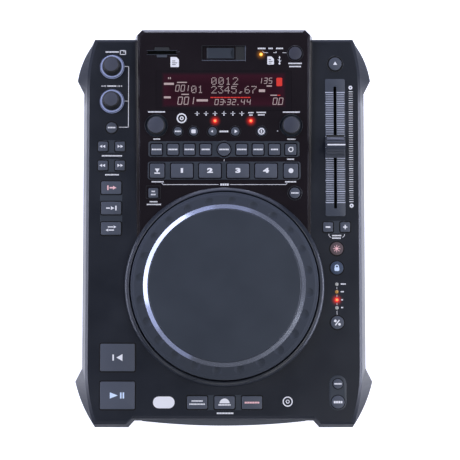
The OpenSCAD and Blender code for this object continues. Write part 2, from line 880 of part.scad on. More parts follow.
module bottom_case() {
    color(case_grey) difference() {
        union() {
            difference() {
                loft([seam_ring(-seam_step - base_inset - foot_chamfer, base_z),
                    seam_ring(-seam_step - base_inset, base_z + foot_chamfer),
                    seam_ring(-seam_step, seam_z)]);
                loft([seam_step_ring(-seam_step - base_inset - foot_chamfer, 0, base_z - 1),
                    seam_step_ring(-seam_step - base_inset, 0, base_z + foot_chamfer),
                    seam_step_ring(-seam_step, 0, seam_z + 1)]);
                // hollow
                difference() {
                    loft([seam_ring(-seam_step - base_inset - wall, floor_z),
                        seam_ring(-seam_step - wall, seam_z + 1)]);
                    loft([seam_step_ring(-seam_step - base_inset - wall, wall / 2, floor_z - 1),
                        seam_step_ring(-seam_step - wall, wall / 2, seam_z + 2)]);
                }
            }
            at_screws() translate([0, 0, base_z + boss_gap])
                cylinder(h = seam_z - base_z - boss_gap, r = boss_r);
            // legs under the disc drive
            for (x = [-1, 1]) {
                for (y = [0, 1]) {
                    translate([x * (drive_w / 2 - leg_in_x),
                        drive_front + leg_in_y + y * (drive_d - 2 * leg_in_y), floor_z - eps])
                        cylinder(h = drive_base - floor_z + eps, r = leg_r);
                }
            }
            // standoffs under the supply board
            for (x = [-1, 1]) {
                for (y = [-1, 1]) {
                    translate([supply_x + x * (supply_w / 2 - supply_leg_in),
                        supply_y + y * (supply_d / 2 - supply_leg_in), floor_z - eps])
                        cylinder(h = supply_z - floor_z + eps, r = standoff_r);
                }
            }
        }
        at_screws() {
            cylinder(h = seam_z - boss_floor, r = screw_head_r + screw_well);
            translate([0, 0, seam_z - 2 * boss_floor]) cylinder(h = 3 * boss_floor, r = screw_r + screw_gap);
        }
        fascia_notch();
        translate([-jack_plate_w / 2 - fit_gap, rear_y - overshoot, jack_z - jack_plate_h / 2 - fit_gap])
            cube([jack_plate_w + 2 * fit_gap, 2 * overshoot, jack_plate_h + 2 * fit_gap]);
        // cooling slots in the floor
        for (i = [0 : vent_count - 1]) {
            translate([supply_x + (i - (vent_count - 1) / 2) * vent_pitch - vent_w / 2, supply_y - vent_l / 2,
                base_z - 1]) cube([vent_w, vent_l, wall + 2]);
        }
    }
}

module rubber_feet() {
    foot_x = deck_half - foot_in;
    color(rubber_black) for (x = [-1, 1]) {
        for (y = [deck_front + foot_end, deck_rear - foot_end]) {
            translate([x * foot_x, y, 0]) rotate_extrude()
                polygon([[0, 0], [foot_r - foot_edge, 0], [foot_r - foot_edge / 3, foot_round],
                    [foot_r, foot_h], [0, foot_h]]);
        }
    }
}

module case_screws() {
    color(metal) at_screws() {
        translate([0, 0, seam_z - boss_floor - screw_head_h]) difference() {
            union() {
                cylinder(h = screw_head_h, r = screw_head_r);
                cylinder(h = screw_head_h + screw_l, r = screw_r);
            }
            cube([cross_l, cross_w, 2 * cross_h], center = true);
            cube([cross_w, cross_l, 2 * cross_h], center = true);
        }
    }
}

// ---------- display wedge ----------

module wedge_solid() {
    function rim(x, yr, c, yf) = [[x - c, yr], [x, yr - c], [x, yf], [-x, yf], [-x, yr - c], [-x + c, yr]];
    top_rim = rim(wedge_half, deck_rear + rear_reach - bevel_w, wedge_cut, wedge_front);
    edge_rim = rim(wedge_half + bevel_w, deck_rear + rear_reach, wedge_cut, wedge_front);
    function foot_point(p) = let (h = wedge_z(p[1]) - bevel_h - deck_z)
        [p[0] + sign(p[0]) * max(wedge_min, h * wedge_lean), p[1], deck_z];
    loft([
        [for (p = edge_rim) foot_point(p)],
        [for (p = edge_rim) [p[0], p[1], max(deck_z + wedge_min, wedge_z(p[1]) - bevel_h)]],
        [for (p = top_rim) [p[0], p[1], wedge_z(p[1])]]
    ]);
}

module wedge_bosses() {
    for (x = [-1, 1]) {
        for (v = wedge_boss_vs) {
            translate([x * (opening_half - wedge_boss_r), v, -board_depth])
                cylinder(h = board_depth - boss_gap, r = wedge_boss_r);
        }
    }
}

module centre_panel() {
    color(wedge_black) {
        difference() {
            union() {
                difference() {
                    wedge_solid();
                    // hollow under the skin
                    intersection() {
                        on_wedge() translate([-wedge_half, -deck_d, -skin - deck_z])
                            cube([2 * wedge_half, 2 * deck_d, deck_z]);
                        translate([0, 0, deck_z - 1]) linear_extrude(overshoot) wedge_opening(0);
                    }
                    // hollow of the rear lip
                    intersection() {
                        on_wedge() translate([-wedge_half, -3 * rear_reach, -skin - deck_z])
                            cube([2 * wedge_half, 6 * rear_reach, deck_z]);
                        translate([-opening_half, deck_rear - rear_lip, deck_z + skin])
                            cube([2 * opening_half, rear_reach + rear_lip - bevel_w - skin, 2 * wedge_rise]);
                    }
                }
                on_wedge() {
                    wedge_bosses();
                    // walls of the memory stick port
                    translate([lid_x - port_w / 2 - port_wall, port_v - port_d / 2 - port_wall, -port_depth])
                        cube([port_w + 2 * port_wall, port_d + 2 * port_wall, port_depth - port_wall_top]);
                    // walls of the two knob wells
                    for (x = [-knob_x, knob_x]) {
                        translate([x, knob_v, -skin - knob_well_h])
                            cylinder(h = well_floor_t, d = knob_well_d + 2 * well_wall);
                    }
                }
            }
            at_jog(deck_z - 1) cylinder(h = overshoot + 1, r = wedge_cut_r, $fn = fine_fn);
            on_wedge() {
                key_holes(wedge_keys);
                translate([-window_w / 2, window_v - window_d / 2, -overshoot])
                    cube([window_w, window_d, 2 * overshoot]);
                // card slot and its finger notches
                translate([card_x - card_w / 2, card_v - card_h / 2, -overshoot])
                    cube([card_w, card_h, 2 * overshoot]);
                translate([card_x - card_notch_w / 2, card_v, -card_notch_h])
                    cube([card_notch_w, card_notch_d, overshoot]);
                translate([card_x - card_tab_w / 2, card_v - card_tab_d, -card_notch_h])
                    cube([card_tab_w, card_tab_d, overshoot]);
                // recess and well of the memory stick port
                translate([-recess_w / 2, port_v - recess_d / 2, -recess_h])
                    cube([recess_w, recess_d, overshoot]);
                translate([lid_x - port_w / 2, port_v - port_d / 2, -overshoot])
                    cube([port_w, port_d, 2 * overshoot]);
                for (x = [-knob_x, knob_x]) {
                    translate([x, knob_v, -knob_well_h]) cylinder(h = overshoot, d = knob_well_d);
                    translate([x, knob_v, -overshoot]) cylinder(h = 2 * overshoot, r = shaft_r + knob_clear);
                }
            }
        }
        // lugs that hold the lid's pin
        on_wedge() for (s = [-1, 1]) {
            difference() {
                translate([lid_pin_x, port_v + s * (lid_d / 2 + fit_gap + lid_pin_l / 2),
                    -recess_h / 2 - lug_drop]) cube([lug_w, lid_pin_l, lug_h], center = true);
                translate([lid_pin_x, port_v, -recess_h / 2]) rotate([90, 0, 0])
                    cylinder(h = 2 * lid_d, r = lid_pin_r + run_gap, center = true);
            }
        }
    }
}

module display_module() {
    on_wedge() {
        // window lens, flush with the panel
        color("#30080c") translate([0, window_v, -skin / 2])
            cube([window_w - 2 * fit_gap, window_d - 2 * fit_gap, skin], center = true);
        // display tube between lens and board
        color("#888888")
            translate([lens_edge - window_w / 2, window_v - window_d / 2 + lens_end, -board_depth])
            cube([window_w - 2 * lens_edge, window_d - 2 * lens_end, board_depth - skin]);
        color(board_green) difference() {
            translate([0, 0, -board_depth - board_t]) linear_extrude(board_t) difference() {
                translate([display_rim - opening_half, -opening_d - display_end])
                    square([2 * opening_half - 2 * display_rim,
                        opening_d + display_end - 2 * wedge_back + lens_end]);
                translate([jog_x, (jog_y - deck_rear) / cos(wedge_angle)])
                    circle(wedge_cut_r + display_jog_gap, $fn = fine_fn);
                translate([lid_x, port_v]) square([display_port_w, display_port_d], center = true);
            }
            for (x = [-knob_x, knob_x]) {
                translate([x, knob_v, -board_depth - 2 * board_t])
                    cylinder(h = 4 * board_t, r = shaft_r + run_gap);
            }
        }
        // encoder bushes
        color(metal) for (x = [-knob_x, knob_x]) {
            difference() {
                translate([x, knob_v, -board_depth])
                    cylinder(h = board_depth - skin - knob_well_h - seat_gap, r = bush_r);
                translate([x, knob_v, -board_depth - 1]) cylinder(h = overshoot, r = shaft_r + run_gap);
            }
        }
        // memory stick socket under its well
        color(metal) difference() {
            translate([lid_x - socket_w / 2, port_v - socket_d / 2, -port_depth - seat_gap - socket_h])
                cube([socket_w, socket_d, socket_h]);
            translate([lid_x - plug_w / 2, port_v - plug_d / 2, -port_depth - seat_gap - plug_depth])
                cube([plug_w, plug_d, overshoot]);
        }
        // card socket
        color(metal) difference() {
            translate([card_x - card_w / 2 - card_socket_wall, card_v - card_socket_d / 2, -board_depth])
                cube([card_w + 2 * card_socket_wall, card_socket_d, board_depth - skin - card_socket_gap]);
            translate([card_x - card_w / 2, card_v - card_h / 2, card_socket_floor - board_depth])
                cube([card_w, card_h, overshoot]);
        }
    }
}

module port_lid() {
    color(case_grey) on_wedge() {
        translate([lid_x - lid_w / 2, port_v - lid_d / 2, lid_lift - recess_h]) difference() {
            cube([lid_w, lid_d, lid_t]);
            // finger notch at the free end
            translate([lid_w + lid_notch_in, lid_d / 2, lid_notch_floor])
                cylinder(h = 2 * lid_t, r = lid_notch_r);
        }
        translate([lid_pin_x, port_v, -recess_h / 2]) rotate([90, 0, 0]) {
            cylinder(h = lid_d, r = lid_barrel_r, center = true);
            cylinder(h = lid_d + 2 * lid_pin_l, r = lid_pin_r, center = true);
        }
    }
}

// ---------- front fascia and disc drive ----------

module front_fascia() {
    bow_r = (fascia_half * fascia_half + fascia_bulge * fascia_bulge) / (2 * fascia_bulge);
    color("#23262c") difference() {
        intersection() {
            translate([-fascia_half, front_wall_y - overshoot, fascia_z])
                cube([2 * fascia_half, overshoot + fascia_in, fascia_h]);
            translate([0, front_wall_y - fascia_bulge + bow_r, fascia_z])
                cylinder(h = fascia_h, r = bow_r, $fn = bow_fn);
        }
        translate([-slot_disc_w / 2, front_wall_y - overshoot, slot_disc_z - slot_disc_h / 2])
            cube([slot_disc_w, 2 * overshoot, slot_disc_h]);
    }
}

module disc_drive() {
    x0 = -drive_w / 2;
    path_top = slot_disc_z + slot_disc_h / 2;
    path_low = slot_disc_z - slot_disc_h / 2;
    color(metal) {
        // pressed steel box with the slot in its front
        difference() {
            translate([x0, drive_front, drive_base]) cube([drive_w, drive_d, drive_h]);
            translate([x0 + sheet, drive_front + sheet, drive_base + sheet])
                cube([drive_w - 2 * sheet, drive_d - 2 * sheet, drive_h - 2 * sheet]);
            translate([-slot_disc_w / 2, drive_front - overshoot, path_low])
                cube([slot_disc_w, 2 * overshoot, slot_disc_h]);
        }
        // disc motor, hub and clamp
        translate([0, spindle_y, drive_base + sheet])
            cylinder(h = path_low - drive_base - sheet - disc_gap, r = motor_r);
        translate([0, spindle_y, path_top + disc_gap])
            cylinder(h = drive_base + drive_h - sheet - path_top - disc_gap, r = clamp_r);
    }
    // loading roller between two blocks, and the guide above it
    color(rubber_black) {
        translate([0, drive_front + roller_in, path_low - roller_r]) rotate([0, 90, 0])
            cylinder(h = slot_disc_w - 2 * roller_end, r = roller_r - roller_gap, center = true);
        for (x = [-1, 1]) {
            translate([x * (slot_disc_w / 2 - roller_block_side + roller_block_w / 2) - roller_block_w / 2,
                drive_front + roller_block_in, drive_base + sheet])
                cube([roller_block_w, roller_block_d, path_low - drive_base - sheet]);
        }
        translate([-slot_disc_w / 2, drive_front + guide_in, path_top])
            cube([slot_disc_w, guide_d, drive_base + drive_h - sheet - path_top]);
    }
    // laser sled on its two rails
    color("#444a52") {
        translate([-sled_w / 2, spindle_y + sled_in, drive_base + sheet]) cube([sled_w, sled_d, sled_h]);
        translate([-lens_w / 2, spindle_y + lens_in, drive_base + sheet + sled_h])
            cube([lens_w, lens_d, lens_h]);
    }
}

// ---------- boards and rear jacks ----------

module circuit_boards() {
    color(board_green) {
        // control board under the deck
        difference() {
            translate([-deck_half + board_edge, board_front, board_z - board_t])
                cube([deck_w - 2 * board_edge, board_rear - board_front, board_t]);
            translate([-opening_half - board_side, deck_front + board_front_bar, board_z - board_depth])
                cube([2 * (opening_half + board_side), deck_d - board_front_bar - board_rear_bar,
                    2 * board_depth]);
            at_screws() translate([0, 0, board_z - board_depth])
                cylinder(h = 2 * board_depth, r = boss_r + boss_clear);
            for (y = [folder_y, track_y]) {
                translate([left_x, y, board_z - board_depth])
                    cylinder(h = 2 * board_depth, r = shaft_r + run_gap);
            }
        }
        // supply board
        translate([supply_x - supply_w / 2, supply_y - supply_d / 2, supply_z])
            cube([supply_w, supply_d, board_t]);
    }
    color(metal) {
        for (y = [folder_y, track_y]) {
            difference() {
                union() {
                    translate([left_x - encoder_w / 2, y - encoder_w / 2, board_z])
                        cube([encoder_w, encoder_w, encoder_h]);
                    translate([left_x, y, board_z]) cylinder(h = board_depth - bush_gap, r = bush_r);
                }
                translate([left_x, y, board_z - 1]) cylinder(h = overshoot, r = shaft_r + run_gap);
            }
        }
        // body of the fader
        difference() {
            translate([fader_x - pot_w / 2, fader_y - slot_l / 2 - pot_end, board_z])
                cube([pot_w, slot_l + 2 * pot_end, pot_h]);
            translate([fader_x - slot_w / 2, fader_y - slot_l / 2, board_z + pot_floor])
                cube([slot_w, slot_l, pot_h]);
        }
    }
    // transformer and capacitors
    color("#3c3f45")
        translate([supply_x + transformer_at[0], supply_y + transformer_at[1], supply_z + board_t])
        cube(transformer);
    color("#20242c") for (i = [0 : 2]) {
        translate([supply_x + capacitor_at[0] + i * capacitor_step[0],
            supply_y + capacitor_at[1] + i * capacitor_step[1], supply_z + board_t])
            cylinder(h = capacitor_h, r = capacitor_r);
    }
}

module rear_jacks() {
    face = rear_y;
    color(metal) difference() {
        translate([-jack_plate_w / 2, face - jack_plate_t, jack_z - jack_plate_h / 2])
            cube([jack_plate_w, jack_plate_t, jack_plate_h]);
        translate([inlet_x - inlet_w / 2, face - overshoot, jack_z - inlet_h / 2])
            cube([inlet_w, 2 * overshoot, inlet_h]);
        translate([switch_x - switch_w / 2 - switch_frame, face - overshoot,
            jack_z - switch_h / 2 - switch_frame])
            cube([switch_w + 2 * switch_frame, 2 * overshoot, switch_h + 2 * switch_frame]);
        for (i = [0 : 1]) {
            translate([mini_x + i * mini_pitch, face - overshoot, jack_z]) rotate([-90, 0, 0])
                cylinder(h = 2 * overshoot, r = mini_r);
        }
    }
    // phono jacks: body inside, nut and shell outside
    color("#c9a13c") for (i = [0 : 2]) {
        translate([phono_x + i * phono_pitch, face, jack_z]) {
            rotate([-90, 0, 0]) difference() {
                union() {
                    cylinder(h = nut_t, r = nut_r);
                    cylinder(h = nut_t + phono_l, r = phono_r);
                }
                translate([0, 0, phono_core]) cylinder(h = overshoot, r = phono_bore);
            }
            translate([-phono_body / 2, -jack_plate_t - phono_body_d, -phono_body / 2])
                cube([phono_body, phono_body_d, phono_body]);
        }
    }
    // remote start sockets
    color("#2a2d33") for (i = [0 : 1]) {
        translate([mini_x + i * mini_pitch, face, jack_z]) rotate([-90, 0, 0]) difference() {
            union() {
                cylinder(h = nut_t, r = mini_nut_r);
                translate([-mini_body / 2, -mini_body / 2, -jack_plate_t - mini_body_d])
                    cube([mini_body, mini_body, mini_body_d]);
            }
            translate([0, 0, nut_t - mini_depth]) cylinder(h = overshoot, r = mini_r);
        }
    }
    // mains inlet with three blades
    color("#1c1d20") difference() {
        union() {
            translate([inlet_x - inlet_w / 2, face - inlet_depth, jack_z - inlet_h / 2])
                cube([inlet_w, inlet_depth + bezel_out, inlet_h]);
            translate([inlet_x - inlet_w / 2 - inlet_rim, face, jack_z - inlet_h / 2 - inlet_rim])
                cube([inlet_w + 2 * inlet_rim, bezel_out, inlet_h + 2 * inlet_rim]);
        }
        translate([inlet_x - inlet_w / 2 + inlet_wall_x, face - inlet_depth + inlet_back,
            jack_z - inlet_h / 2 + inlet_wall_z])
            cube([inlet_w - 2 * inlet_wall_x, 2 * inlet_depth, inlet_h - 2 * inlet_wall_z]);
    }
    color(metal) for (p = blades) {
        translate([inlet_x + p[0] - blade_w / 2, face - inlet_depth + inlet_back,
            jack_z + p[1] - blade_h / 2])
            cube([blade_w, inlet_depth - blade_back, blade_h]);
    }
    // frame of the power switch
    color("#1c1d20") difference() {
        translate([switch_x - switch_w / 2 - switch_frame, face - switch_body_d,
            jack_z - switch_h / 2 - switch_frame])
            cube([switch_w + 2 * switch_frame, switch_body_d + bezel_out, switch_h + 2 * switch_frame]);
        translate([switch_x - switch_w / 2, face - switch_pit, jack_z - switch_h / 2])
            cube([switch_w, 2 * switch_pit, switch_h]);
        translate([switch_x, face - switch_pivot, jack_z])
            cylinder(h = switch_h + 2 * switch_pin_l, r = switch_pin_r + run_gap, center = true);
    }
}

module power_switch() {
    half = switch_w / 2 - seat_gap - switch_side - switch_slim;
    color("#26282d") translate([switch_x, rear_y - switch_pivot, jack_z]) rotate([0, 0, -switch_tilt]) {
        linear_extrude(switch_h - 2 * seat_gap, center = true)
            polygon([[-half, -switch_back], [half, -switch_back], [half, switch_end], [0, switch_middle],
                [-half, switch_end]]);
        cylinder(h = switch_h + 2 * (switch_pin_l - switch_side), r = switch_pin_r, center = true);
    }
}

// ---------- jog wheel ----------

module jog_bearing() {
    color(metal) at_jog(well_z) {
        cylinder(h = flange_t, r = flange_r);
        cylinder(h = web_z - well_z - post_gap, r = post_r);
    }
}

module jog_wheel() {
    color(jog_grey) difference() {
        at_jog(0) rotate_extrude($fn = fine_fn) polygon([
            [post_r + run_gap, web_z], [plate_r + fit_gap, web_z], [plate_r + fit_gap, plate_z - ring_lip],
            [rim_in, plate_z - ring_drop], for (p = rim_round) [jog_r - p[0], rim_top + p[1]],
            [jog_r, rim_bottom], [jog_r - rim_wall, rim_bottom],
            [jog_r - rim_wall, web_z - web_t], [hub_r, web_z - web_t], [hub_r, well_z + flange_t + seat_gap],
            [post_r + run_gap, well_z + flange_t + seat_gap]]);
        // finger dimples round the rim
        at_jog(plate_z - dimple_drop + sqrt(dimple_ball * dimple_ball - dimple_size * dimple_size))
            for (i = [0 : dimple_count - 1]) {
                rotate(dimple_turn + i * 360 / dimple_count) translate([0, dimple_r, 0])
                    sphere(r = dimple_ball, $fn = ball_fn);
            }
    }
}

module jog_plate() {
    color("#3a424e") at_jog(web_z) rotate_extrude($fn = fine_fn)
        polygon([[0, 0], [plate_r, 0], [plate_r, plate_t - plate_edge],
            [plate_r - plate_edge, plate_t], [0, plate_t]]);
}

// ---------- fader and knobs ----------

module pitch_fader_cap() {
    z0 = fader_pad_h + cap_gap;
    end = cap_l / 2;
    cap_side = concat([for (p = cap_steps) [end - p[0], z0 + p[1]]],
        [[ridge_foot, z0 + ridge_start], [ridge_half, cap_h - ridge_h], [ridge_top, cap_h]]);
    color("#4b5058") translate([fader_x, fader_y + fader_rest, deck_z]) {
        // ridge in the middle, with two finger steps on each side
        rotate([90, 0, 90]) linear_extrude(cap_w, center = true)
            polygon(concat([for (p = cap_side) [p[0], p[1]]],
                [for (i = [len(cap_side) - 1 : -1 : 0]) [-cap_side[i][0], cap_side[i][1]]]));
        translate([-stem_x / 2, -stem_y / 2, stem_floor - board_depth])
            cube([stem_x, stem_y, z0 + board_depth - stem_floor + stem_lap]);
    }
}

module big_knob_at(y) {
    color("#41464f") translate([left_x, y, deck_z]) {
        rotate_extrude() polygon([
            [0, seat_gap], [big_knob / 2, seat_gap], [big_knob / 2, knob_skirt],
            [big_knob_top / 2 + knob_top_out, big_knob_h - knob_edge],
            [big_knob_top / 2 - knob_top_in, big_knob_h], [0, big_knob_h]]);
        translate([0, 0, shaft_sink - board_depth]) cylinder(h = board_depth, r = shaft_r);
    }
}

module folder_knob() {
    big_knob_at(folder_y);
}

module track_knob() {
    big_knob_at(track_y);
}

module small_knob_at(x) {
    color("#3a3e47") on_wedge() translate([x, knob_v, 0]) {
        rotate_extrude() polygon([
            [0, seat_gap - knob_well_h], [small_knob / 2 + knob_foot_out, seat_gap - knob_well_h],
            [small_knob / 2, small_knob_h - knob_edge], [small_knob / 2 - knob_edge, small_knob_h],
            [0, small_knob_h]]);
        translate([0, 0, -board_depth]) cylinder(h = board_depth, r = shaft_r);
    }
}

module time_knob() {
    small_knob_at(-knob_x);
}

module ratio_knob() {
    small_knob_at(knob_x);
}

// ---------- keys ----------

module play_button() { deck_key(k_play); }
module cue_button() { deck_key(k_cue); }
module loop_in_button() { deck_key(k_in); }
module loop_out_button() { deck_key(k_out); }
module reloop_button() { deck_key(k_reloop); }
module advance_button() { deck_key(k_advance); }
module track_back_button() { deck_key(k_back); }
module track_forward_button() { deck_key(k_forward); }
module search_back_button() { deck_key(k_search_back); }
module search_forward_button() { deck_key(k_search_forward); }
module eject_button() { deck_key(k_eject); }
module pitch_down_button() { deck_key(k_pitch_down); }
module pitch_up_button() { deck_key(k_pitch_up); }
module tempo_lock_button() { deck_key(k_tempo); }
module key_lock_button() { deck_key(k_lock); }
module range_button() { deck_key(k_range); }
module bpm_button() { deck_key(k_bpm); }
module tap_button() { deck_key(k_tap); }
module jog_mode_1_button() { deck_key(k_mode(-1)); }
module jog_mode_2_button() { deck_key(k_mode(0)); }
module jog_mode_3_button() { deck_key(k_mode(1)); }
module source_button() { wedge_key(k_source); }
module hold_button() { wedge_key(k_hold); }
module memory_button() { wedge_key(k_memory); }
module sampler_button() { wedge_key(k_sampler); }
module bank_button() { wedge_key(k_bank); }
module dump_button() { wedge_key(k_dump); }
module effect_1_button() { wedge_key(k_effect(0)); }
module effect_2_button() { wedge_key(k_effect(1)); }
module effect_3_button() { wedge_key(k_effect(2)); }
module effect_4_button() { wedge_key(k_effect(3)); }
module effect_5_button() { wedge_key(k_effect(4)); }
module effect_6_button() { wedge_key(k_effect(5)); }
module effect_7_button() { wedge_key(k_effect(6)); }
module effect_8_button() { wedge_key(k_effect(7)); }
module hot_cue_1_button() { wedge_key(k_hot_cue(0)); }
module hot_cue_2_button() { wedge_key(k_hot_cue(1)); }
module hot_cue_3_button() { wedge_key(k_hot_cue(2)); }
module hot_cue_4_button() { wedge_key(k_hot_cue(3)); }

// five small caps moulded on one strip
module display_keys() {
    strip_z = -skin - seat_gap - key_flange_t;
    for (x = tiny_xs) {
        wedge_key([x, tiny_v, tiny_key, 0]);
    }
    color(key_grey) on_wedge()
        translate([tiny_xs[0], tiny_v - stem_w / 2, strip_z])
            cube([tiny_xs[4] - tiny_xs[0], stem_w, key_flange_t]);
}

bottom_case();
top_case();
centre_panel();
display_module();
front_fascia();
jog_bearing();
rear_jacks();
disc_drive();
circuit_boards();
rubber_feet();
case_screws();
jog_wheel();
jog_plate();
pitch_fader_cap();
folder_knob();
track_knob();
time_knob();
ratio_knob();
port_lid();
power_switch();
play_button();
cue_button();
loop_in_button();
loop_out_button();
reloop_button();
advance_button();
track_back_button();
track_forward_button();
search_back_button();
search_forward_button();
eject_button();
pitch_down_button();
pitch_up_button();
tempo_lock_button();
key_lock_button();
range_button();
bpm_button();
tap_button();
jog_mode_1_button();
jog_mode_2_button();
jog_mode_3_button();
source_button();
hold_button();
memory_button();
sampler_button();
bank_button();
dump_button();
effect_1_button();
effect_2_button();
effect_3_button();
effect_4_button();
effect_5_button();
effect_6_button();
effect_7_button();
effect_8_button();
hot_cue_1_button();
hot_cue_2_button();
hot_cue_3_button();
hot_cue_4_button();
display_keys();
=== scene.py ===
import json
import math

import bmesh
import bpy
from bpy.props import FloatProperty, FloatVectorProperty, IntProperty, PointerProperty
from mathutils import Matrix, Vector

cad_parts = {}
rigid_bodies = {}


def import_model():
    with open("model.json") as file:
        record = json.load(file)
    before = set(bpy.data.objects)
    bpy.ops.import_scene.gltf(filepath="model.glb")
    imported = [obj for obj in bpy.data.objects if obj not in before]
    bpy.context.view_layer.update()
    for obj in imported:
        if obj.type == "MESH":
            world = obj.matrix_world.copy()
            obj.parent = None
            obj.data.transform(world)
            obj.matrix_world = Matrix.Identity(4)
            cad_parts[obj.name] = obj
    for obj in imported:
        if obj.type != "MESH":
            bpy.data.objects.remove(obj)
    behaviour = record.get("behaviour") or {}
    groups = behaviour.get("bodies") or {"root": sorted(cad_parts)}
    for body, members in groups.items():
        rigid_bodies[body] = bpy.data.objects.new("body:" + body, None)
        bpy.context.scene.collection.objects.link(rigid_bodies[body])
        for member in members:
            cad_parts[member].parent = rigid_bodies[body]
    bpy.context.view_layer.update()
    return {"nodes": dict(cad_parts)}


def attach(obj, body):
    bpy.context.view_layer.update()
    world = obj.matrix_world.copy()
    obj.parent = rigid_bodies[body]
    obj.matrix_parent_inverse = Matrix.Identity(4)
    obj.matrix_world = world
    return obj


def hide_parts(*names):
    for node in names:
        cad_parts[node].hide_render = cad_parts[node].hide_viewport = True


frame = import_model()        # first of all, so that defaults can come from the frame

bl_info = {
    "name": "Disc player finish",
    "version": (1, 0, 0),
    "blender": (4, 5, 0),
    "location": "3D View > Sidebar > Player",
    "description": "Keys, knobs, print, lamps, display and materials of a tabletop disc player",
    "category": "Object",
}

NODES = frame["nodes"]
MM = 0.001


def mm(*values):
    """Metres from millimetres: every size and place below is in millimetres."""
    return tuple(v * MM for v in values)


# the deck is level; the centre panel slopes, turned about its rear edge
DECK_Z = 84.0
PANEL_Y, PANEL_Z, PANEL_SLOPE = 170.0, 95.1, math.radians(3.38348)
JOG_X, JOG_Y = 0.8, -51.6
DECK = Matrix.Translation(mm(0, 0, DECK_Z))
PANEL = Matrix.Translation(mm(0, PANEL_Y, PANEL_Z)) @ Matrix.Rotation(PANEL_SLOPE, 4, "X")
JOG = Matrix.Translation(mm(JOG_X, JOG_Y, 0))

# keys: x, y, width and depth; a round key has no depth
DECK_KEYS = {
    "play": (-94.6, -148.9, 30.8, 24.4), "cue": (-94.6, -115.3, 30.8, 24.4),
    "loop_in": (-101.2, 36.9, 17.9, 11.4), "loop_out": (-101.2, 18.5, 17.9, 11.4),
    "reloop": (-101.2, 0.1, 17.9, 11.4), "advance": (-101.2, 91.5, 9.7, 0),
    "track_back": (-108.9, 74.4, 8.7, 8.7), "track_forward": (-93.5, 74.4, 8.7, 8.7),
    "search_back": (-108.9, 57.1, 8.7, 8.7), "search_forward": (-93.5, 57.1, 8.7, 8.7),
    "eject": (100.9, 149.8, 11.6, 0),
    "pitch_down": (93.7, 1.4, 8.7, 8.7), "pitch_up": (109.1, 1.4, 8.7, 8.7),
    "tempo_lock": (101.4, -18.0, 11.6, 0), "key_lock": (101.4, -35.3, 11.6, 0),
    "range": (101.6, -84.2, 11.6, 0), "bpm": (101.8, -138.6, 8.7, 0), "tap": (101.8, -154.8, 11.6, 0),
    "jog_mode_1": (-23.6, -155.2, 17.9, 11.4), "jog_mode_2": (0.8, -155.2, 17.9, 11.4),
    "jog_mode_3": (25.2, -155.2, 17.9, 11.4),
}
EFFECT_X = (-60.3, -45.6, -30.9, -16.2, 16.2, 30.9, 45.6, 60.3)
HOT_CUE_X, HOT_CUE_Y = (-37.5, -12.3, 12.9, 38.1), -118.3
PANEL_KEYS = {
    "source": (64.3, -12.5, 11.6, 0), "hold": (0.3, -99.2, 11.6, 0),
    "memory": (-59.7, HOT_CUE_Y, 12.8, 12.8), "sampler": (60.4, HOT_CUE_Y, 12.8, 12.8),
    "bank": (-63.2, -138.3, 8.7, 8.7), "dump": (63.9, -138.3, 9.6, 0),
    **{f"effect_{i + 1}": (x, -99.2, 9.9, 9.9) for i, x in enumerate(EFFECT_X)},
    **{f"hot_cue_{i + 1}": (x, HOT_CUE_Y, 19.6, 12.8) for i, x in enumerate(HOT_CUE_X)},
}
DISPLAY_KEY_X, DISPLAY_KEY_Y, DISPLAY_KEY_R = (-41.2, -27.1, -10.0, 10.4, 33.9), -82.9, 3.85
KEY_FOOT = -2.3             # lowest point of a key under its panel

BIG_KNOBS = {"folder": (-101.2, 147.3), "track": (-101.2, 115.8)}
SMALL_KNOBS = {"time": (-60.6, -77.7), "ratio": (60.6, -77.7)}
FADER_X, FADER_Y = 100.6, 73.6
CAP_Y, CAP_TOP = 74.1, 14.5         # the fader's cap at rest, and its height over the deck
SCALE_STEP, SCALE_MARKS = 2.0, 51   # the scales run over the fader's 100 mm
CARD_X, PORT_Y = -55.6, -12.3
FIELD_Y, FIELD_X_HALF, FIELD_Y_HALF = -45.5, 54.5, 14.5     # the display's lit field
# where the case's walls turn from smooth to matt
REAR_MATT, FRONT_MATT = (114, 140), (-134, -170)
PLATE_LOW, PLATE_HIGH = -0.3, 0.35  # the plates between the keys
FINE_LOW, FINE_HIGH = -0.2, 0.15    # the fine raised lines on the panel
THROUGH = 2.0                       # how far a cutter reaches over and under what it cuts

# lamps: their panel, x, y, radius and material
LAMPS = {
    "source": (PANEL, 33.6, -13.5, 1.5, "lamp_amber"),
    "beat": (PANEL, -7.8, -73.4, 1.6, "lamp_red"),
    "lock": (PANEL, 24.4, -73.4, 1.6, "lamp_red"),
    "range_1": (DECK, 101.3, -49.9, 1.6, "lens"),
    "range_2": (DECK, 101.3, -56.7, 1.6, "lens_amber"),
    "range_3": (DECK, 101.3, -63.9, 1.6, "lamp_red"),
    "range_4": (DECK, 101.3, -71.0, 1.6, "lens"),
}
# light that a lit lamp throws on the surface round it, painted there as a glow of emission
SPILL = {"lamp_red": (1.6, 0.05, 0.03), "lamp_amber": (0.6, 0.22, 0.02)}

# dot characters: seven rows from the top down, five dots to a row, each row a digit in base 32
DOTS = {"0": "EHJLPHE", "1": "4C4444E", "2": "EH1248V", "3": "V2421HE", "4": "26AIV22", "5": "VGU11HE",
        "6": "68GUHHE", "7": "V124888", ".": "000006C"}
SEGMENTS = {"0": "abcdef", "1": "bc", "2": "abged", "3": "abgcd", "4": "fgbc", "5": "afgcd"}

SUNK = 0.1                  # how deep print lies in its surface, so that no gap shows under it
CROSS = 0.01                # where two strokes of print cross, one lies this much higher


def linear(code):
    """Linear colour of an sRGB hex code."""
    parts = [int(code[i:i + 2], 16) / 255 for i in (1, 3, 5)]
    return tuple(p / 12.92 if p <= 0.04045 else ((p + 0.055) / 1.055) ** 2.4 for p in parts)


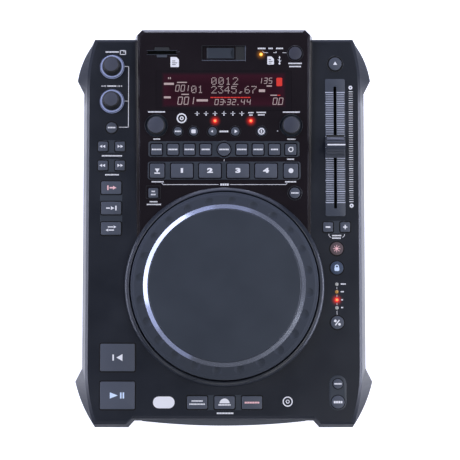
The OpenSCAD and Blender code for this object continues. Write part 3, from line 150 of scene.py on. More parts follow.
def lit(kind, place=None):
    """Where the lit lamps of a kind sit, with the light they throw; of one panel only, if it is given."""
    return tuple((tuple(panel @ Vector(mm(x, y, 0))), SPILL[kind])
                 for panel, x, y, _, this_kind in LAMPS.values()
                 if this_kind == kind and place in (None, panel))


# ---------- what a user would change ----------

def colour_prop(name, text, code):
    return FloatVectorProperty(name=name, description=f"Colour of the {text}", default=linear(code), size=3,
                               subtype="COLOR", min=0, max=1)


def length_prop(name, text, value, low, high):
    return FloatProperty(name=name, description=text, default=value * MM, min=low * MM, max=high * MM,
                         subtype="DISTANCE", unit="LENGTH", precision=5)


def factor_prop(name, text, value, high):
    return FloatProperty(name=name, description=text, default=value, min=0, max=high, subtype="FACTOR")


class CaseLook(bpy.types.PropertyGroup):
    """Case, panel and print"""
    case: colour_prop("Case", "moulded case", "#151a25")
    panel: colour_prop("Panel", "glossy centre panel", "#1a151a")
    surround: colour_prop("Surround", "plates between the keys", "#2c333e")
    ink: colour_prop("Ink", "printed marks", "#e4e5ec")
    ink_height: length_prop("Ink height", "Height of the print over its surface", 0.05, 0.02, 0.2)


class KeyLook(bpy.types.PropertyGroup):
    """Keys"""
    colour: colour_prop("Keys", "keys", "#414755")
    proud: length_prop("Height", "Height of the keys above their panel", 1.2, 0.6, 2)
    corner: length_prop("Corner", "Corner radius of the square keys", 1.2, 0.4, 2)
    edge: length_prop("Edge", "Radius of the keys' top edge", 0.4, 0.1, 0.8)


class KnobLook(bpy.types.PropertyGroup):
    """Knobs and fader"""
    rubber: colour_prop("Rubber", "large knobs", "#0f1114")
    insert: colour_prop("Knob tops", "inserts in the knobs' tops", "#3a3e4d")
    cap: colour_prop("Small knobs", "small knobs", "#3a3e4c")
    fader: colour_prop("Fader", "fader cap", "#393e4a")
    scale: colour_prop("Scale", "fader's printed scale", "#b4bacc")
    ribs: IntProperty(name="Ribs", description="Number of grip ribs round a large knob", default=36, min=12,
                      max=60)


class JogLook(bpy.types.PropertyGroup):
    """Jog wheel"""
    rim: colour_prop("Rim", "wheel's rim", "#242b37")
    plate: colour_prop("Plate", "touch plate", "#262e3a")
    ring: colour_prop("Ring", "bright bevel ring", "#b4bbcb")


class DisplayLook(bpy.types.PropertyGroup):
    """Display and lamps"""
    # the window's colour holds the lit field's glow, painted in
    window: colour_prop("Window", "smoked window over the lit field", "#2e0e1a")
    digit: colour_prop("Digits", "lit characters", "#cdb9be")
    stroke: length_prop("Stroke", "Width of a character's stroke", 0.65, 0.3, 1.2)
    power: factor_prop("Lamp power", "Brightness of the lit lamps", 1.6, 20)


class StageLook(bpy.types.PropertyGroup):
    """Floor, lights and camera"""
    floor: colour_prop("Floor", "floor", "#eef0fa")
    light: factor_prop("Light", "Power of all the lights, as a factor", 1.0, 5)
    glow: factor_prop("Floor glow", "Light from below the floor", 0.86, 2)
    width: FloatProperty(name="Floor width", description="Width of the floor", default=16.0, min=2, max=20,
                         unit="LENGTH")


# ---------- modelling ----------

def clear():
    """Leaves edit mode with nothing selected."""
    if bpy.context.mode != "OBJECT":
        bpy.ops.object.mode_set(mode="OBJECT")
    bpy.ops.object.select_all(action="DESELECT")


def begin(name):
    """A new empty mesh, open in edit mode."""
    clear()
    piece = bpy.data.objects.new(name, bpy.data.meshes.new(name))
    bpy.context.scene.collection.objects.link(piece)
    bpy.context.view_layer.objects.active = piece
    piece.select_set(True)
    bpy.ops.object.mode_set(mode="EDIT")
    bpy.ops.mesh.select_mode(type="EDGE")
    return piece


MODELS = {}


def repeat(name, draw, *sizes):
    """A new piece of a shape that is drawn once, at the origin; each piece has its own copy of the mesh."""
    key = (draw, sizes)
    if key not in MODELS:
        model = begin(name)
        draw(*sizes)
        clear()
        MODELS[key] = model.data
        bpy.data.objects.remove(model)
    clear()
    piece = bpy.data.objects.new(name, MODELS[key].copy())
    bpy.context.scene.collection.objects.link(piece)
    return piece


def remove_models():
    """Removes the meshes that the repeated pieces were copied from."""
    for model in MODELS.values():
        bpy.data.meshes.remove(model)
    MODELS.clear()


def moved(place, x, y, z=0.0):
    """The place, moved along its own axes by millimetres."""
    return place @ Matrix.Translation(mm(x, y, z))


def keep_edges(test):
    """Leaves only those selected edges selected that pass the test."""
    mesh = bpy.context.edit_object.data
    shape = bmesh.from_edit_mesh(mesh)
    kept = [e for e in shape.edges if e.select and test(e)]
    for part in (shape.faces, shape.edges, shape.verts):
        for item in part:
            item.select = False
    for e in kept:
        e.select = True
    shape.select_flush_mode()
    bmesh.update_edit_mesh(mesh)


def round_edges(test, radius, steps):
    """Rounds those edges of the selected part that pass the test, and selects the whole part again."""
    keep_edges(test)
    bpy.ops.mesh.bevel(offset=radius * MM, segments=steps, affect="EDGES")
    bpy.ops.mesh.select_linked()


def upright(e):
    a, b = (v.co for v in e.verts)
    return abs(a.z - b.z) > 1e-6 and (a - b).xy.length < 1e-7


def at_height(high):
    """A test for the edges round a flat top."""
    return lambda e: (all(abs(v.co.z - high * MM) < 1e-7 for v in e.verts)
                      and any(abs(f.normal.z) < 0.5 for f in e.link_faces))


def slab(x, y, w, d, low, high, corner=0.0, edge=0.0, turn=0.0, steps=5):
    """Adds a block with rounded corners and top edge to the open mesh."""
    bpy.ops.mesh.select_all(action="DESELECT")
    bpy.ops.mesh.primitive_cube_add(size=1, location=mm(x, y, (low + high) / 2),
                                    rotation=(0, 0, math.radians(turn)), scale=mm(w, d, high - low))
    if corner:
        round_edges(upright, corner, steps)
    if edge:
        round_edges(at_height(high), edge, 3)


def puck(x, y, r, low, high, edge=0.0, sides=48, turn=0.0):
    """Adds a disc with a rounded top edge to the open mesh."""
    bpy.ops.mesh.select_all(action="DESELECT")
    bpy.ops.mesh.primitive_cylinder_add(vertices=sides, radius=r * MM, depth=(high - low) * MM,
                                        location=mm(x, y, (low + high) / 2),
                                        rotation=(0, 0, math.radians(turn)))
    if edge:
        round_edges(at_height(high), edge, 3)


def arrow(x, y, r, low, high, turn=0.0):
    """Adds an arrow head to the open mesh: a disc with three sides."""
    puck(x, y, r, low, high, sides=3, turn=turn)


def hoop(x, y, r, z, thick, flat=1.0, sides=72):
    """Adds a ring of round section to the open mesh; flat squashes its height."""
    bpy.ops.mesh.select_all(action="DESELECT")
    bpy.ops.mesh.primitive_torus_add(major_radius=r * MM, minor_radius=thick * MM, major_segments=sides,
                                     minor_segments=10, location=mm(x, y, z))
    if flat != 1.0:
        bpy.ops.transform.resize(value=(1, 1, flat), center_override=mm(x, y, z))


def printed_hoop(x, y, r, low, high):
    """Adds a ring of print, 1 mm wide, to the open mesh, as high as the strokes round it."""
    hoop(x, y, r, (low + high) / 2, 0.5, flat=high - low, sides=32)


def lathe(profile, sides):
    """Adds a ring to the open mesh: a circle drawn out along a profile of radii and heights."""
    bpy.ops.mesh.select_all(action="DESELECT")
    r, z = profile[0]
    bpy.ops.mesh.primitive_circle_add(vertices=sides, radius=r * MM, location=mm(0, 0, z))
    for r2, z2 in profile[1:]:
        bpy.ops.mesh.extrude_region_move(TRANSFORM_OT_translate={"value": mm(0, 0, z2 - z)})
        bpy.ops.transform.resize(value=(r2 / r, r2 / r, 1), center_override=mm(0, 0, z2))
        r, z = r2, z2
    bpy.ops.mesh.select_all(action="SELECT")
    bpy.ops.mesh.remove_doubles(threshold=1e-7)
    bpy.ops.mesh.normals_make_consistent(inside=False)


def copies(count, dx, dy=0.0):
    """Repeats the part that was added last, each copy one step further on."""
    for _ in range(count):
        bpy.ops.mesh.duplicate_move(TRANSFORM_OT_translate={"value": mm(dx, dy, 0)})


def copies_to(places):
    """Repeats the part that was added last, at the first of these x, at the others."""
    for here, there in zip(places, places[1:]):
        copies(1, there - here)


def finish(piece, place, body, finish_name, smooth=35.0):
    """Puts the piece in its place, gives it its material and lets it ride on a body."""
    clear()
    piece.select_set(True)
    bpy.context.view_layer.objects.active = piece
    piece.matrix_world = place
    bpy.ops.object.transform_apply(location=True, rotation=True, scale=True)
    bpy.ops.object.shade_smooth_by_angle(angle=math.radians(smooth))
    piece.data.materials.clear()
    piece.data.materials.append(material(finish_name))
    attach(piece, body)


def cut(piece, cutter):
    """Cuts one mesh out of another and removes the cutter."""
    clear()
    bpy.context.view_layer.objects.active = piece
    piece.select_set(True)
    hole = piece.modifiers.new("hole", "BOOLEAN")
    hole.object = cutter
    hole.operation = "DIFFERENCE"
    hole.solver = "EXACT"
    bpy.ops.object.modifier_apply(modifier="hole")
    bpy.data.objects.remove(cutter)


def digits(text, x, y, w, h, pitch, stroke, low, high):
    """Adds a row of leaning segment digits to the open mesh; the first one is centred on x, y."""
    lean = math.radians(8)
    a, b = w / 2 - stroke / 2, h / 2 - stroke / 2
    # each segment's place in the digit, and whether it stands
    places = {"a": (0, b, False), "g": (0, 0, False), "d": (0, -b, False), "b": (a, b / 2, True),
              "c": (a, -b / 2, True), "f": (-a, b / 2, True), "e": (-a, -b / 2, True)}
    for i, letter in enumerate(text):
        for segment in SEGMENTS[letter]:
            sx, sy, stands = places[segment]
            sx += x + i * pitch + sy * math.tan(lean)
            if stands:
                slab(sx, y + sy, stroke, b - stroke * 0.3, low, high, turn=-math.degrees(lean))
            else:
                slab(sx, y + sy, 2 * a - stroke * 0.4, stroke, low, high)


def dots(text, x, y, pitch, low, high):
    """Adds a row of dot-matrix characters to the open mesh; the first one is centred on x, y."""
    step, dot = 0.98, 0.98 * 0.74
    for i, letter in enumerate(text):
        for row, code in enumerate(DOTS[letter]):
            for column in range(5):
                if int(code, 32) >> (4 - column) & 1:
                    slab(x + i * pitch + (column - 2) * step, y + (3 - row) * step, dot, dot, low, high)


def words(x, y, w, d, low, high):
    """Adds a label to the open mesh: a row of small plain blocks."""
    count = max(2, round(w / (d * 1.02)))
    step = w / count
    slab(x - w / 2 + step / 2, y, step * 0.82, d, low, high)
    copies(count - 1, step)


# ---------- materials ----------

MATERIALS = {}


def material(name):
    if name not in MATERIALS:
        raise RuntimeError(f"material {name} isn't made yet")
    return MATERIALS[name]


def add(tree, kind, values=None, links=None, stops=(), **settings):
    """Adds a node with its settings, values, links and colour stops; a link comes from a socket, or from
    a node's first output."""
    made = tree.nodes.new("ShaderNode" + kind)
    for key, value in settings.items():
        setattr(made, key, value)
    for socket, value in (values or {}).items():
        made.inputs[socket].default_value = value
    for socket, source in (links or {}).items():
        output = source.outputs[0] if isinstance(source, bpy.types.Node) else source
        tree.links.new(output, made.inputs[socket])
    if stops:
        row = made.color_ramp.elements
        while len(row) < len(stops):
            row.new(0.5)
        for item, (position, colour) in zip(row, stops):
            item.position = position
            item.color = colour
    return made


def blank(name):
    made = bpy.data.materials.new(name)
    made.use_nodes = True
    made.node_tree.nodes.clear()
    return made, made.node_tree


def shade(colour, factor=1.0):
    """The colour, lighter or darker by a factor, with its alpha."""
    return (*[min(1.0, c * factor) for c in colour], 1.0)


def moulded(name, colour, rough, grain, depth, spread=0.12, metal=0.0, coat=0.0, base=None, spill=(),
            glow=None, walls=False):
    """Plastic, rubber or paint with a grain of the given size in millimetres.
    The colour, or what base makes in its place, and the roughness drift a little over centimetres,
    as on a real moulding."""
    made, tree = blank(name)
    if isinstance(colour, str):
        colour = linear(colour)
    place = add(tree, "TexCoord").outputs["Object"]
    fine = add(tree, "TexNoise", {"Scale": 1 / (grain * MM), "Detail": 2.0}, {"Vector": place})
    wide = add(tree, "TexNoise", {"Scale": 1 / (45 * MM), "Detail": 3.0, "Roughness": 0.6},
               {"Vector": place})
    if base:
        tone = base(tree, place)
    else:
        stops = [(0.3, shade(colour, 1 - spread)), (0.7, shade(colour, 1 + spread))]
        tone = add(tree, "ValToRGB", links={"Fac": wide}, stops=stops)
    dull = add(tree, "MapRange",
               {"From Min": 0.3, "From Max": 0.7, "To Min": rough - 0.03, "To Max": rough + 0.04},
               {"Value": wide})
    if walls:
        dull = wall_finish(tree, place, dull)
    bump = add(tree, "Bump", {"Strength": 0.6, "Distance": depth * MM}, {"Height": fine})
    shader = add(tree, "BsdfPrincipled",
                 {"IOR": 1.5, "Metallic": metal, "Coat Weight": coat, "Coat Roughness": 0.08},
                 {"Base Color": tone, "Roughness": dull, "Normal": bump})
    # a glow is emission over the whole surface; on the knob rings it is a painted highlight
    if glow:
        shader.inputs["Emission Color"].default_value = (*glow, 1)
    if glow or spill:
        shader.inputs["Emission Strength"].default_value = 1.0
    # a spill is painted light: a glow of emission round the lit lamps
    if spill:
        tree.links.new(painted_lamp_glow(tree, place, spill), shader.inputs["Emission Color"])
    add(tree, "OutputMaterial", links={"Surface": shader})
    return made


def wall_finish(tree, place, dull):
    """The mould is smooth along the sides and blasted matt round the front and rear corners,
    up to the deck's edge."""
    facing = add(tree, "SeparateXYZ",
                 links={"Vector": add(tree, "TexCoord").outputs["Normal"]})
    where = add(tree, "SeparateXYZ", links={"Vector": place})
    steep = add(tree, "MapRange", {"From Min": 0.95, "From Max": 0.8, "To Min": 0.0, "To Max": 0.62},
                {"Value": facing.outputs["Z"]})
    rear = add(tree, "MapRange", {"From Min": REAR_MATT[0] * MM, "From Max": REAR_MATT[1] * MM},
               {"Value": where.outputs["Y"]})
    front = add(tree, "MapRange", {"From Min": FRONT_MATT[0] * MM, "From Max": FRONT_MATT[1] * MM},
                {"Value": where.outputs["Y"]})
    ends = add(tree, "Math", links={0: front, 1: rear}, operation="ADD")
    matt = add(tree, "Math", links={0: steep, 1: ends}, operation="MULTIPLY")
    return add(tree, "Math", links={0: dull, 1: matt}, operation="ADD")


def painted_lamp_glow(tree, place, spill):
    """Painted glow: emission for the light that the lit lamps throw round them, falling off over a few
    millimetres.
    """
    total = None
    for point, tone in spill:
        away = add(tree, "VectorMath", {1: point}, {0: place}, operation="DISTANCE")
        near = add(tree, "MapRange",
                   {"From Min": 0.0, "From Max": 6.5 * MM, "To Min": 1.0, "To Max": 0.0},
                   {"Value": away.outputs["Value"]})
        fall = add(tree, "Math", {1: 3.0}, {0: near}, operation="POWER")
        glow = add(tree, "VectorMath", {0: tone}, {"Scale": fall}, operation="SCALE")
        if total is None:
            total = glow.outputs[0]
        else:
            total = add(tree, "VectorMath", links={0: total, 1: glow},
                        operation="ADD").outputs[0]
    return total


def lit_lens(name, spill, core, rim, power):
    """A lit lamp: bright in its middle and deeper in colour towards its edge."""
    made, tree = blank(name)
    place = add(tree, "TexCoord").outputs["Object"]
    nearest = None
    for point, _ in spill:
        away = add(tree, "VectorMath", {1: point}, {0: place}, operation="DISTANCE").outputs["Value"]
        if nearest is None:
            nearest = away
        else:
            nearest = add(tree, "Math", links={0: nearest, 1: away}, operation="MINIMUM").outputs[0]
    part = add(tree, "MapRange", {"From Min": 0.9 * MM, "From Max": 2.0 * MM}, {"Value": nearest})
    core, rim = linear(core), linear(rim)
    tone = add(tree, "ValToRGB", links={"Fac": part},
               stops=[(0.0, shade(core)), (0.55, shade(rim)), (1.0, shade(rim, 0.35))])
    shader = add(tree, "BsdfPrincipled",
                 {"IOR": 1.5, "Roughness": 0.3, "Base Color": shade(rim, 0.2), "Emission Strength": power},
                 {"Emission Color": tone})
    add(tree, "OutputMaterial", links={"Surface": shader})
    return made


def glowing(name, colour, power):
    """A lit plastic: its light is a little uneven, as behind a moulded lens."""
    made, tree = blank(name)
    place = add(tree, "TexCoord").outputs["Object"]
    fine = add(tree, "TexNoise", {"Scale": 1 / (0.8 * MM), "Detail": 1.0}, {"Vector": place})
    tone = add(tree, "ValToRGB", links={"Fac": fine},
               stops=[(0.35, shade(colour, 0.85)), (0.65, shade(colour))])
    shader = add(tree, "BsdfPrincipled",
                 {"IOR": 1.5, "Roughness": 0.35, "Base Color": shade(colour, 0.02),
                  "Emission Strength": power},
                 {"Emission Color": tone})
    add(tree, "OutputMaterial", links={"Surface": shader})
    return made


def window_base(tree, place):
    """Smoked window over a black lacquered board, told apart by the depth under the panel.
    The lit field's red glow behind the window is painted into its colour, brightest just inside the field's
    edge, and fades into the panel's colour just past it."""
    down = -PANEL_Y * math.cos(PANEL_SLOPE) - PANEL_Z * math.sin(PANEL_SLOPE)
    under = PANEL_Y * math.sin(PANEL_SLOPE) - PANEL_Z * math.cos(PANEL_SLOPE)
    local = add(tree, "Mapping", {"Location": mm(0, down, under), "Rotation": (-PANEL_SLOPE, 0, 0)},
                {"Vector": place})
    parts = add(tree, "SeparateXYZ", links={"Vector": local})
    depth = add(tree, "MapRange", {"From Min": -2.7 * MM, "From Max": -2.6 * MM},
                {"Value": parts.outputs["Z"]})
    # distance past the edge of the lit field
    middle = add(tree, "VectorMath", {1: mm(0, -FIELD_Y, 0)}, {0: local}, operation="ADD")
    folded = add(tree, "VectorMath", links={0: middle}, operation="ABSOLUTE")
    beyond = add(tree, "VectorMath", {1: mm(FIELD_X_HALF, FIELD_Y_HALF, 0)}, {0: folded},
                 operation="SUBTRACT")
    sides = add(tree, "SeparateXYZ", links={"Vector": beyond})
    edge = add(tree, "Math", links={0: sides.outputs["X"], 1: sides.outputs["Y"]}, operation="MAXIMUM")
    fade = add(tree, "MapRange", {"From Min": -9 * MM, "From Max": 1.5 * MM}, {"Value": edge})
    # painted glow: the window's colour stands in for the lit field's light behind it
    tint, panel = bpy.context.scene.display_look.window, bpy.context.scene.case_look.panel
    painted_field_glow = add(tree, "ValToRGB", links={"Fac": fade},
                stops=[(0.0, shade(tint, 0.85)), (0.7, shade(tint, 1.3)), (1.0, shade(panel))])
    mix = add(tree, "Mix", {6: shade(linear("#0d1411"))},
              {0: depth, 7: painted_field_glow}, data_type="RGBA")
    return mix.outputs[2]


def jack_base(tree, place):
    """Painted plate, gold phono jacks on the left and black plastic for the sockets and the inlet."""
    parts = add(tree, "SeparateXYZ", links={"Vector": place})
    side = add(tree, "MapRange", {"From Min": -23 * MM, "From Max": -22 * MM},
               {"Value": parts.outputs["X"]})
    out = add(tree, "MapRange", {"From Min": 168.5 * MM, "From Max": 168.6 * MM},
              {"Value": parts.outputs["Y"]})
    jack = add(tree, "ValToRGB", links={"Fac": side},
               stops=[(0.4, shade(linear("#c8a04a"))), (0.6, shade(linear("#15161a")))])
    mix = add(tree, "Mix", {6: shade(linear("#23262c"))},
              {0: out, 7: jack}, data_type="RGBA")
    return mix.outputs[2]


# dyed nylon collars of the phono jacks, from left to right
COLLARS = {"white": "#d8d8d4", "red": "#a01c18", "orange": "#c4621a"}

# the CAD nodes that stay as they are, by their material
WORN = {
    "case": ("bottom_case", "top_case"), "fascia": ("front_fascia",), "panel": ("centre_panel",),
    "window": ("display_module",), "steel": ("jog_bearing", "disc_drive"), "jack": ("rear_jacks",),
    "board": ("circuit_boards",), "foot": ("rubber_feet",), "screw": ("case_screws",), "rim": ("jog_wheel",),
    "plate": ("jog_plate",), "fader": ("pitch_fader_cap",), "surround": ("port_lid",),
    "rubber": ("folder_knob", "track_knob", "time_knob", "ratio_knob"), "rocker": ("power_switch",),
    "key": (*[node for node in NODES if node.endswith("_button")], "display_keys"),
}


def all_finishes(scene):
    """The object's materials by the name of their use."""
    case, keys, knobs = scene.case_look, scene.key_look, scene.knob_look
    jog, show = scene.jog_look, scene.display_look
    return {
        # ABS, moulded in a spark-eroded tool: satin, with a grain just too fine to count
        # the red range lamp's light on the deck round it is a painted glow
        "case": moulded("case_abs_satin", case.case, 0.34, 0.5, 0.02, spill=lit("lamp_red", DECK),
                        walls=True),
        # the fascia's ABS with a charcoal paint
        # the fascia: a lighter grey than the case
        "fascia": moulded("fascia_lighter_grey", "#5b616b", 0.4, 0.5, 0.01),
        # ABS with a clear lacquer: a deep gloss with almost no grain; the lit lamps' spill on it is a painted
        # glow
        "panel": moulded("panel_abs_lacquered", case.panel, 0.18, 0.8, 0.002, coat=0.3, spread=0.08,
                         spill=lit("lamp_red", PANEL) + lit("lamp_amber")),
        # the same ABS as the case in a lighter tint: the plates between the keys
        "surround": moulded("surround_abs_satin", case.surround, 0.4, 0.5, 0.02),
        # polycarbonate key caps with a rubbery soft-touch paint: a broad, dull highlight
        "key": moulded("key_soft_touch_paint", keys.colour, 0.5, 0.35, 0.015, spread=0.06),
        # the same caps with a red or a blue lamp behind them: the lamp's glow is painted into their colour
        "key_painted_red_glow": moulded("key_soft_touch_painted_red_glow", "#514247", 0.5, 0.35, 0.015, spread=0.06),
        "key_painted_blue_glow": moulded("key_soft_touch_painted_blue_glow", "#2f3e56", 0.5, 0.35, 0.015, spread=0.06),
        # the darker cap of the source key
        "key_dark": moulded("key_dark_soft_touch_paint", "#2f3241", 0.5, 0.35, 0.015, spread=0.06),
        # the case's ABS in its lightest tint: the fader's plate and the card's tab; on the port's sill it is
        # a painted highlight
        "pale_plate_and_painted_highlight": moulded("pale_plate_abs_and_painted_highlight", "#3e4451", 0.4, 0.5, 0.02),
        # screen-printed ink: flat and slightly chalky
        "ink": moulded("print_ink_white", case.ink, 0.6, 0.4, 0.004, spread=0.03),
        # the same ink over a red or a blue lamp behind the key: the lamp's glow is painted into its colour
        "ink_painted_red_glow": moulded("print_ink_painted_red_glow", "#f3bfc4", 0.6, 0.4, 0.004, spread=0.03),
        "ink_painted_blue_glow": moulded("print_ink_painted_blue_glow", "#cfe2ff", 0.6, 0.4, 0.004, spread=0.03),
        # screen-printed ink in grey-lilac, for the fader's scale
        "scale": moulded("print_ink_grey", knobs.scale, 0.6, 0.4, 0.004, spread=0.03),
        # thermoplastic rubber: matt and dark
        "rubber": moulded("knob_rubber", knobs.rubber, 0.65, 0.5, 0.03),
        # grey ABS insert in the top of a large knob
        "insert": moulded("knob_insert_abs", knobs.insert, 0.5, 0.5, 0.012),
        # satin ABS of the small knobs' tops and of the step on the fader cap
        "cap": moulded("small_knob_abs", knobs.cap, 0.38, 0.5, 0.012),
        # ABS of the fader cap, a little duller: shows its steps by soft highlights
        "fader": moulded("fader_cap_abs", knobs.fader, 0.58, 0.6, 0.008),
        # the rings round the large knobs: their lilac colour and their glow of emission are a painted
        # highlight, bright from all sides
        "ring": moulded("knob_ring_painted_highlight", "#68719a", 0.35, 1.0, 0.004, spread=0.03,
                        coat=0.4, glow=linear("#6f7895")),
        # painted shade: near-black in the gaps round the deck's keys, where shade falls
        "gap_painted_shade": moulded("key_gap_painted_shade", "#030304", 0.85, 0.5, 0.01),
        # dark trim of the port's frame, the card symbols and the fine rings
        "trim": moulded("panel_trim_abs", "#1d2026", 0.4, 0.5, 0.01),
        # matt ABS on the floor of the port's recess and in the card slot
        "well": moulded("recess_abs_matt", "#1e2127", 0.5, 0.5, 0.015),
        # satin nickel plate on ABS: even grey, with a hard-edged highlight along the bevel
        "nickel": moulded("satin_nickel_plated_abs", jog.ring, 0.16, 4.0, 0.00005, spread=0.02, metal=0.84),
        # matt lacquer on ABS: the rim stays even all the way round
        "rim": moulded("jog_rim_matt_lacquer", jog.rim, 0.75, 0.4, 0.01, spread=0.05),
        # the case's ABS, polished: the ring round the wheel catches the light on its slope
        "bezel": moulded("bezel_abs_polished", "#20252f", 0.34, 0.6, 0.004, coat=0.2),
        # powder-coated aluminium plate: even and dull
        "plate": moulded("jog_plate_powder_coat", jog.plate, 0.45, 0.6, 0.02, spread=0.08),
        # nitrile rubber feet: almost black, with no highlight
        "foot": moulded("foot_nitrile_rubber", "#141517", 0.8, 0.7, 0.04),
        # blackened steel screws: a dark metal sheen
        "screw": moulded("screw_blackened_steel", "#3a3b3e", 0.35, 0.5, 0.01, metal=1.0),
        # pressed and zinc-plated sheet steel inside: bright, with a slightly wavy surface
        "steel": moulded("drive_zinc_plated_steel", "#8d9096", 0.35, 1.2, 0.01, metal=1.0),
        # fibreglass board under black lacquer: a green-black with the weave just showing
        "board": moulded("board_black_lacquer", "#0d1411", 0.35, 1.5, 0.02),
        # gold plate of the phono jacks and black nylon of the other sockets, on a painted plate
        "jack": moulded("rear_socket_plating", None, 0.35, 0.5, 0.01, metal=0.3, base=jack_base),
        # smoked acrylic window: the clearest gloss on the panel
        "window": moulded("display_smoked_acrylic", None, 0.12, 1.0, 0.001, coat=0.6,
                          base=window_base),
        # glossy nylon of the rocker: a sharp highlight where it is tipped
        "rocker": moulded("rocker_nylon", "#17181b", 0.25, 0.6, 0.006),
        # milky diffusing polycarbonate of a dark lamp: pale, with no lamp seen through it
        "lens": moulded("lamp_lens_milky", "#a9aaa6", 0.3, 0.6, 0.003),
        "lens_amber": moulded("lamp_lens_amber", "#b88a45", 0.3, 0.6, 0.003),
        # lit characters and marks of the display: even light, pink-white and red
        "digit": glowing("display_segment_lit", show.digit, 0.75),
        "segment_red": glowing("display_segment_red", linear("#ff4038"), 0.7),
        # diffusing polycarbonate of a lit lamp: brighter in its middle
        "lamp_red": lit_lens("lamp_lens_red_lit", lit("lamp_red"), "#ffa862", "#ff2a1c", show.power),
        "lamp_amber": lit_lens("lamp_lens_amber_lit", lit("lamp_amber"), "#ffe27a", "#ff9a1a", show.power),
        # dyed nylon insulators of the phono jacks: flat colour with a soft shine
        **{f"nylon_{dye}": moulded(f"jack_nylon_{dye}", code, 0.35, 0.6, 0.01)
           for dye, code in COLLARS.items()},
    }


class PLAYER_OT_materials(bpy.types.Operator):
    """Make the materials and give the carried-over nodes theirs"""
    bl_idname = "player.materials"
    bl_label = "Materials"

    def execute(self, context):
        MATERIALS.update(all_finishes(context.scene))
        for name, nodes in WORN.items():
            for node in nodes:
                slots = NODES[node].data.materials
                slots.clear()
                slots.append(material(name))
        return {"FINISHED"}


# ---------- keys ----------

# the source key's cap is a darker tint; the lock keys' lamp glow is painted into their caps' colour
KEY_TINTS_AND_GLOWS = {"source": "key_dark", "tempo_lock": "key_painted_red_glow", "key_lock": "key_painted_blue_glow"}


def cap(w, d):
    """A key's cap with its rounded edges; a round one has no depth."""
    look = bpy.context.scene.key_look
    if d:
        slab(0, 0, w, d, KEY_FOOT, look.proud / MM, look.corner / MM, look.edge / MM, steps=6)
    else:
        puck(0, 0, w / 2, KEY_FOOT, look.proud / MM, look.edge / MM, sides=64)


def rides(name):
    """The body that a key's pieces ride on."""
    return name.replace("_", " ") + " key"


class PLAYER_OT_keys(bpy.types.Operator):
    """Model the key caps with their rounded edges"""
    bl_idname = "player.keys"
    bl_label = "Keys"

    def execute(self, context):
        for keys, place in ((DECK_KEYS, DECK), (PANEL_KEYS, PANEL)):
            for name, (x, y, w, d) in keys.items():
                piece = repeat(f"key_{name}", cap, w, d)
                finish(piece, moved(place, x, y), rides(name), KEY_TINTS_AND_GLOWS.get(name, "key"))
                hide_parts(f"{name}_button")
        look = context.scene.key_look
        piece = begin("key_row_display")
        puck(DISPLAY_KEY_X[0], DISPLAY_KEY_Y, DISPLAY_KEY_R, KEY_FOOT, look.proud / MM, look.edge / MM)
        copies_to(DISPLAY_KEY_X)
        finish(piece, PANEL, "display keys", "key")
        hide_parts("display_keys")
        return {"FINISHED"}


# ---------- symbols on the keys, drawn about the origin ----------

def play_mark(low, high):
    arrow(-4.3, 0, 3.9, low, high, -90)
    bpy.ops.transform.resize(value=(1.2, 0.82, 1), center_override=mm(-4.3, 0, high))
    slab(3.1, 0, 1.35, 5.4, low, high)
    copies(1, 2.3)


def cue_mark(low, high):
    arrow(2.6, 0, 3.6, low, high, 90)
    slab(-3.9, 0, 1.35, 5.4, low, high)


def double_arrow(turn):
    """Two arrow heads that overlap a little, one lower than the other."""
    def draw(low, high):
        for x in (-1.45, 1.2):
            arrow(x, 0, 1.6, low, high + 0.004 * x, turn)
    return draw


def word_bar(w, d=1.3):
    return lambda low, high: words(0, 0, w, d, low, high)


def two_bars(w):
    def draw(low, high):
        words(0, 1.4, w * 0.72, 1.2, low, high)
        words(0, -1.4, w, 1.2, low, high)
    return draw


def step_mark(bar, shaft, head):
    """A bar beside an arrow to the right, given by their places."""
    def draw(low, high):
        slab(bar, 0, 1.2, 4.2, low, high)
        slab(shaft, 0, 3.4, 1.2, low, high)
        arrow(head, 0, 2.0, low, high + CROSS, -90)
    return draw


def loop_mark(low, high):
    for side in (-1, 1):
        slab(-0.4 * side, 1.4 * side, 4.8, 1.0, low, high)
        arrow(3.2 * side, 1.4 * side, 1.6, low, high + CROSS, -90 * side)


def eject_mark(low, high):
    arrow(0, 0.1, 2.1, low, high)


def minus_mark(low, high):
    slab(0, 0, 4.2, 1.3, low, high)


def plus_mark(low, high):
    slab(0, 0, 3.9, 1.05, low, high)
    slab(0, 0, 1.05, 3.9, low, high + CROSS)


def sun_mark(low, high):
    for i in range(4):
        slab(0, 0, 6.6, 0.5, low, high + CROSS * i, turn=45 * i)
    puck(0, 0, 1.1, low, high + CROSS * 4, sides=32)


def lock_mark(low, high):
    slab(0, -1.1, 4.4, 3.3, low, high, corner=0.9, steps=3)
    printed_hoop(0, 1.0, 1.5, low, high)


def percent_mark(low, high):
    slab(0, 0, 1.1, 6.0, low, high, turn=-38)
    for side in (-1, 1):
        puck(1.8 * side, -1.5 * side, 1.2, low, high + CROSS, sides=24)


def dome_mark(low, high):
    puck(0, -1.0, 4.6, low, high, sides=40)
    bpy.ops.mesh.bisect(plane_co=mm(0, -0.6, 0), plane_no=(0, 1, 0), use_fill=True, clear_inner=True)
    words(0, -2.0, 11.0, 1.3, low, high + CROSS)


def save_mark(low, high):
    arrow(0, 0.7, 2.5, low, high + CROSS, 180)
    slab(0, -2.2, 5.2, 1.1, low, high)


def dot_mark(low, high):
    puck(0, 0, 2.2, low, high, sides=40)


def turn_mark(low, high):
    printed_hoop(0, 0, 1.9, low, high)
    arrow(1.5, 1.4, 1.1, low, high, -30)


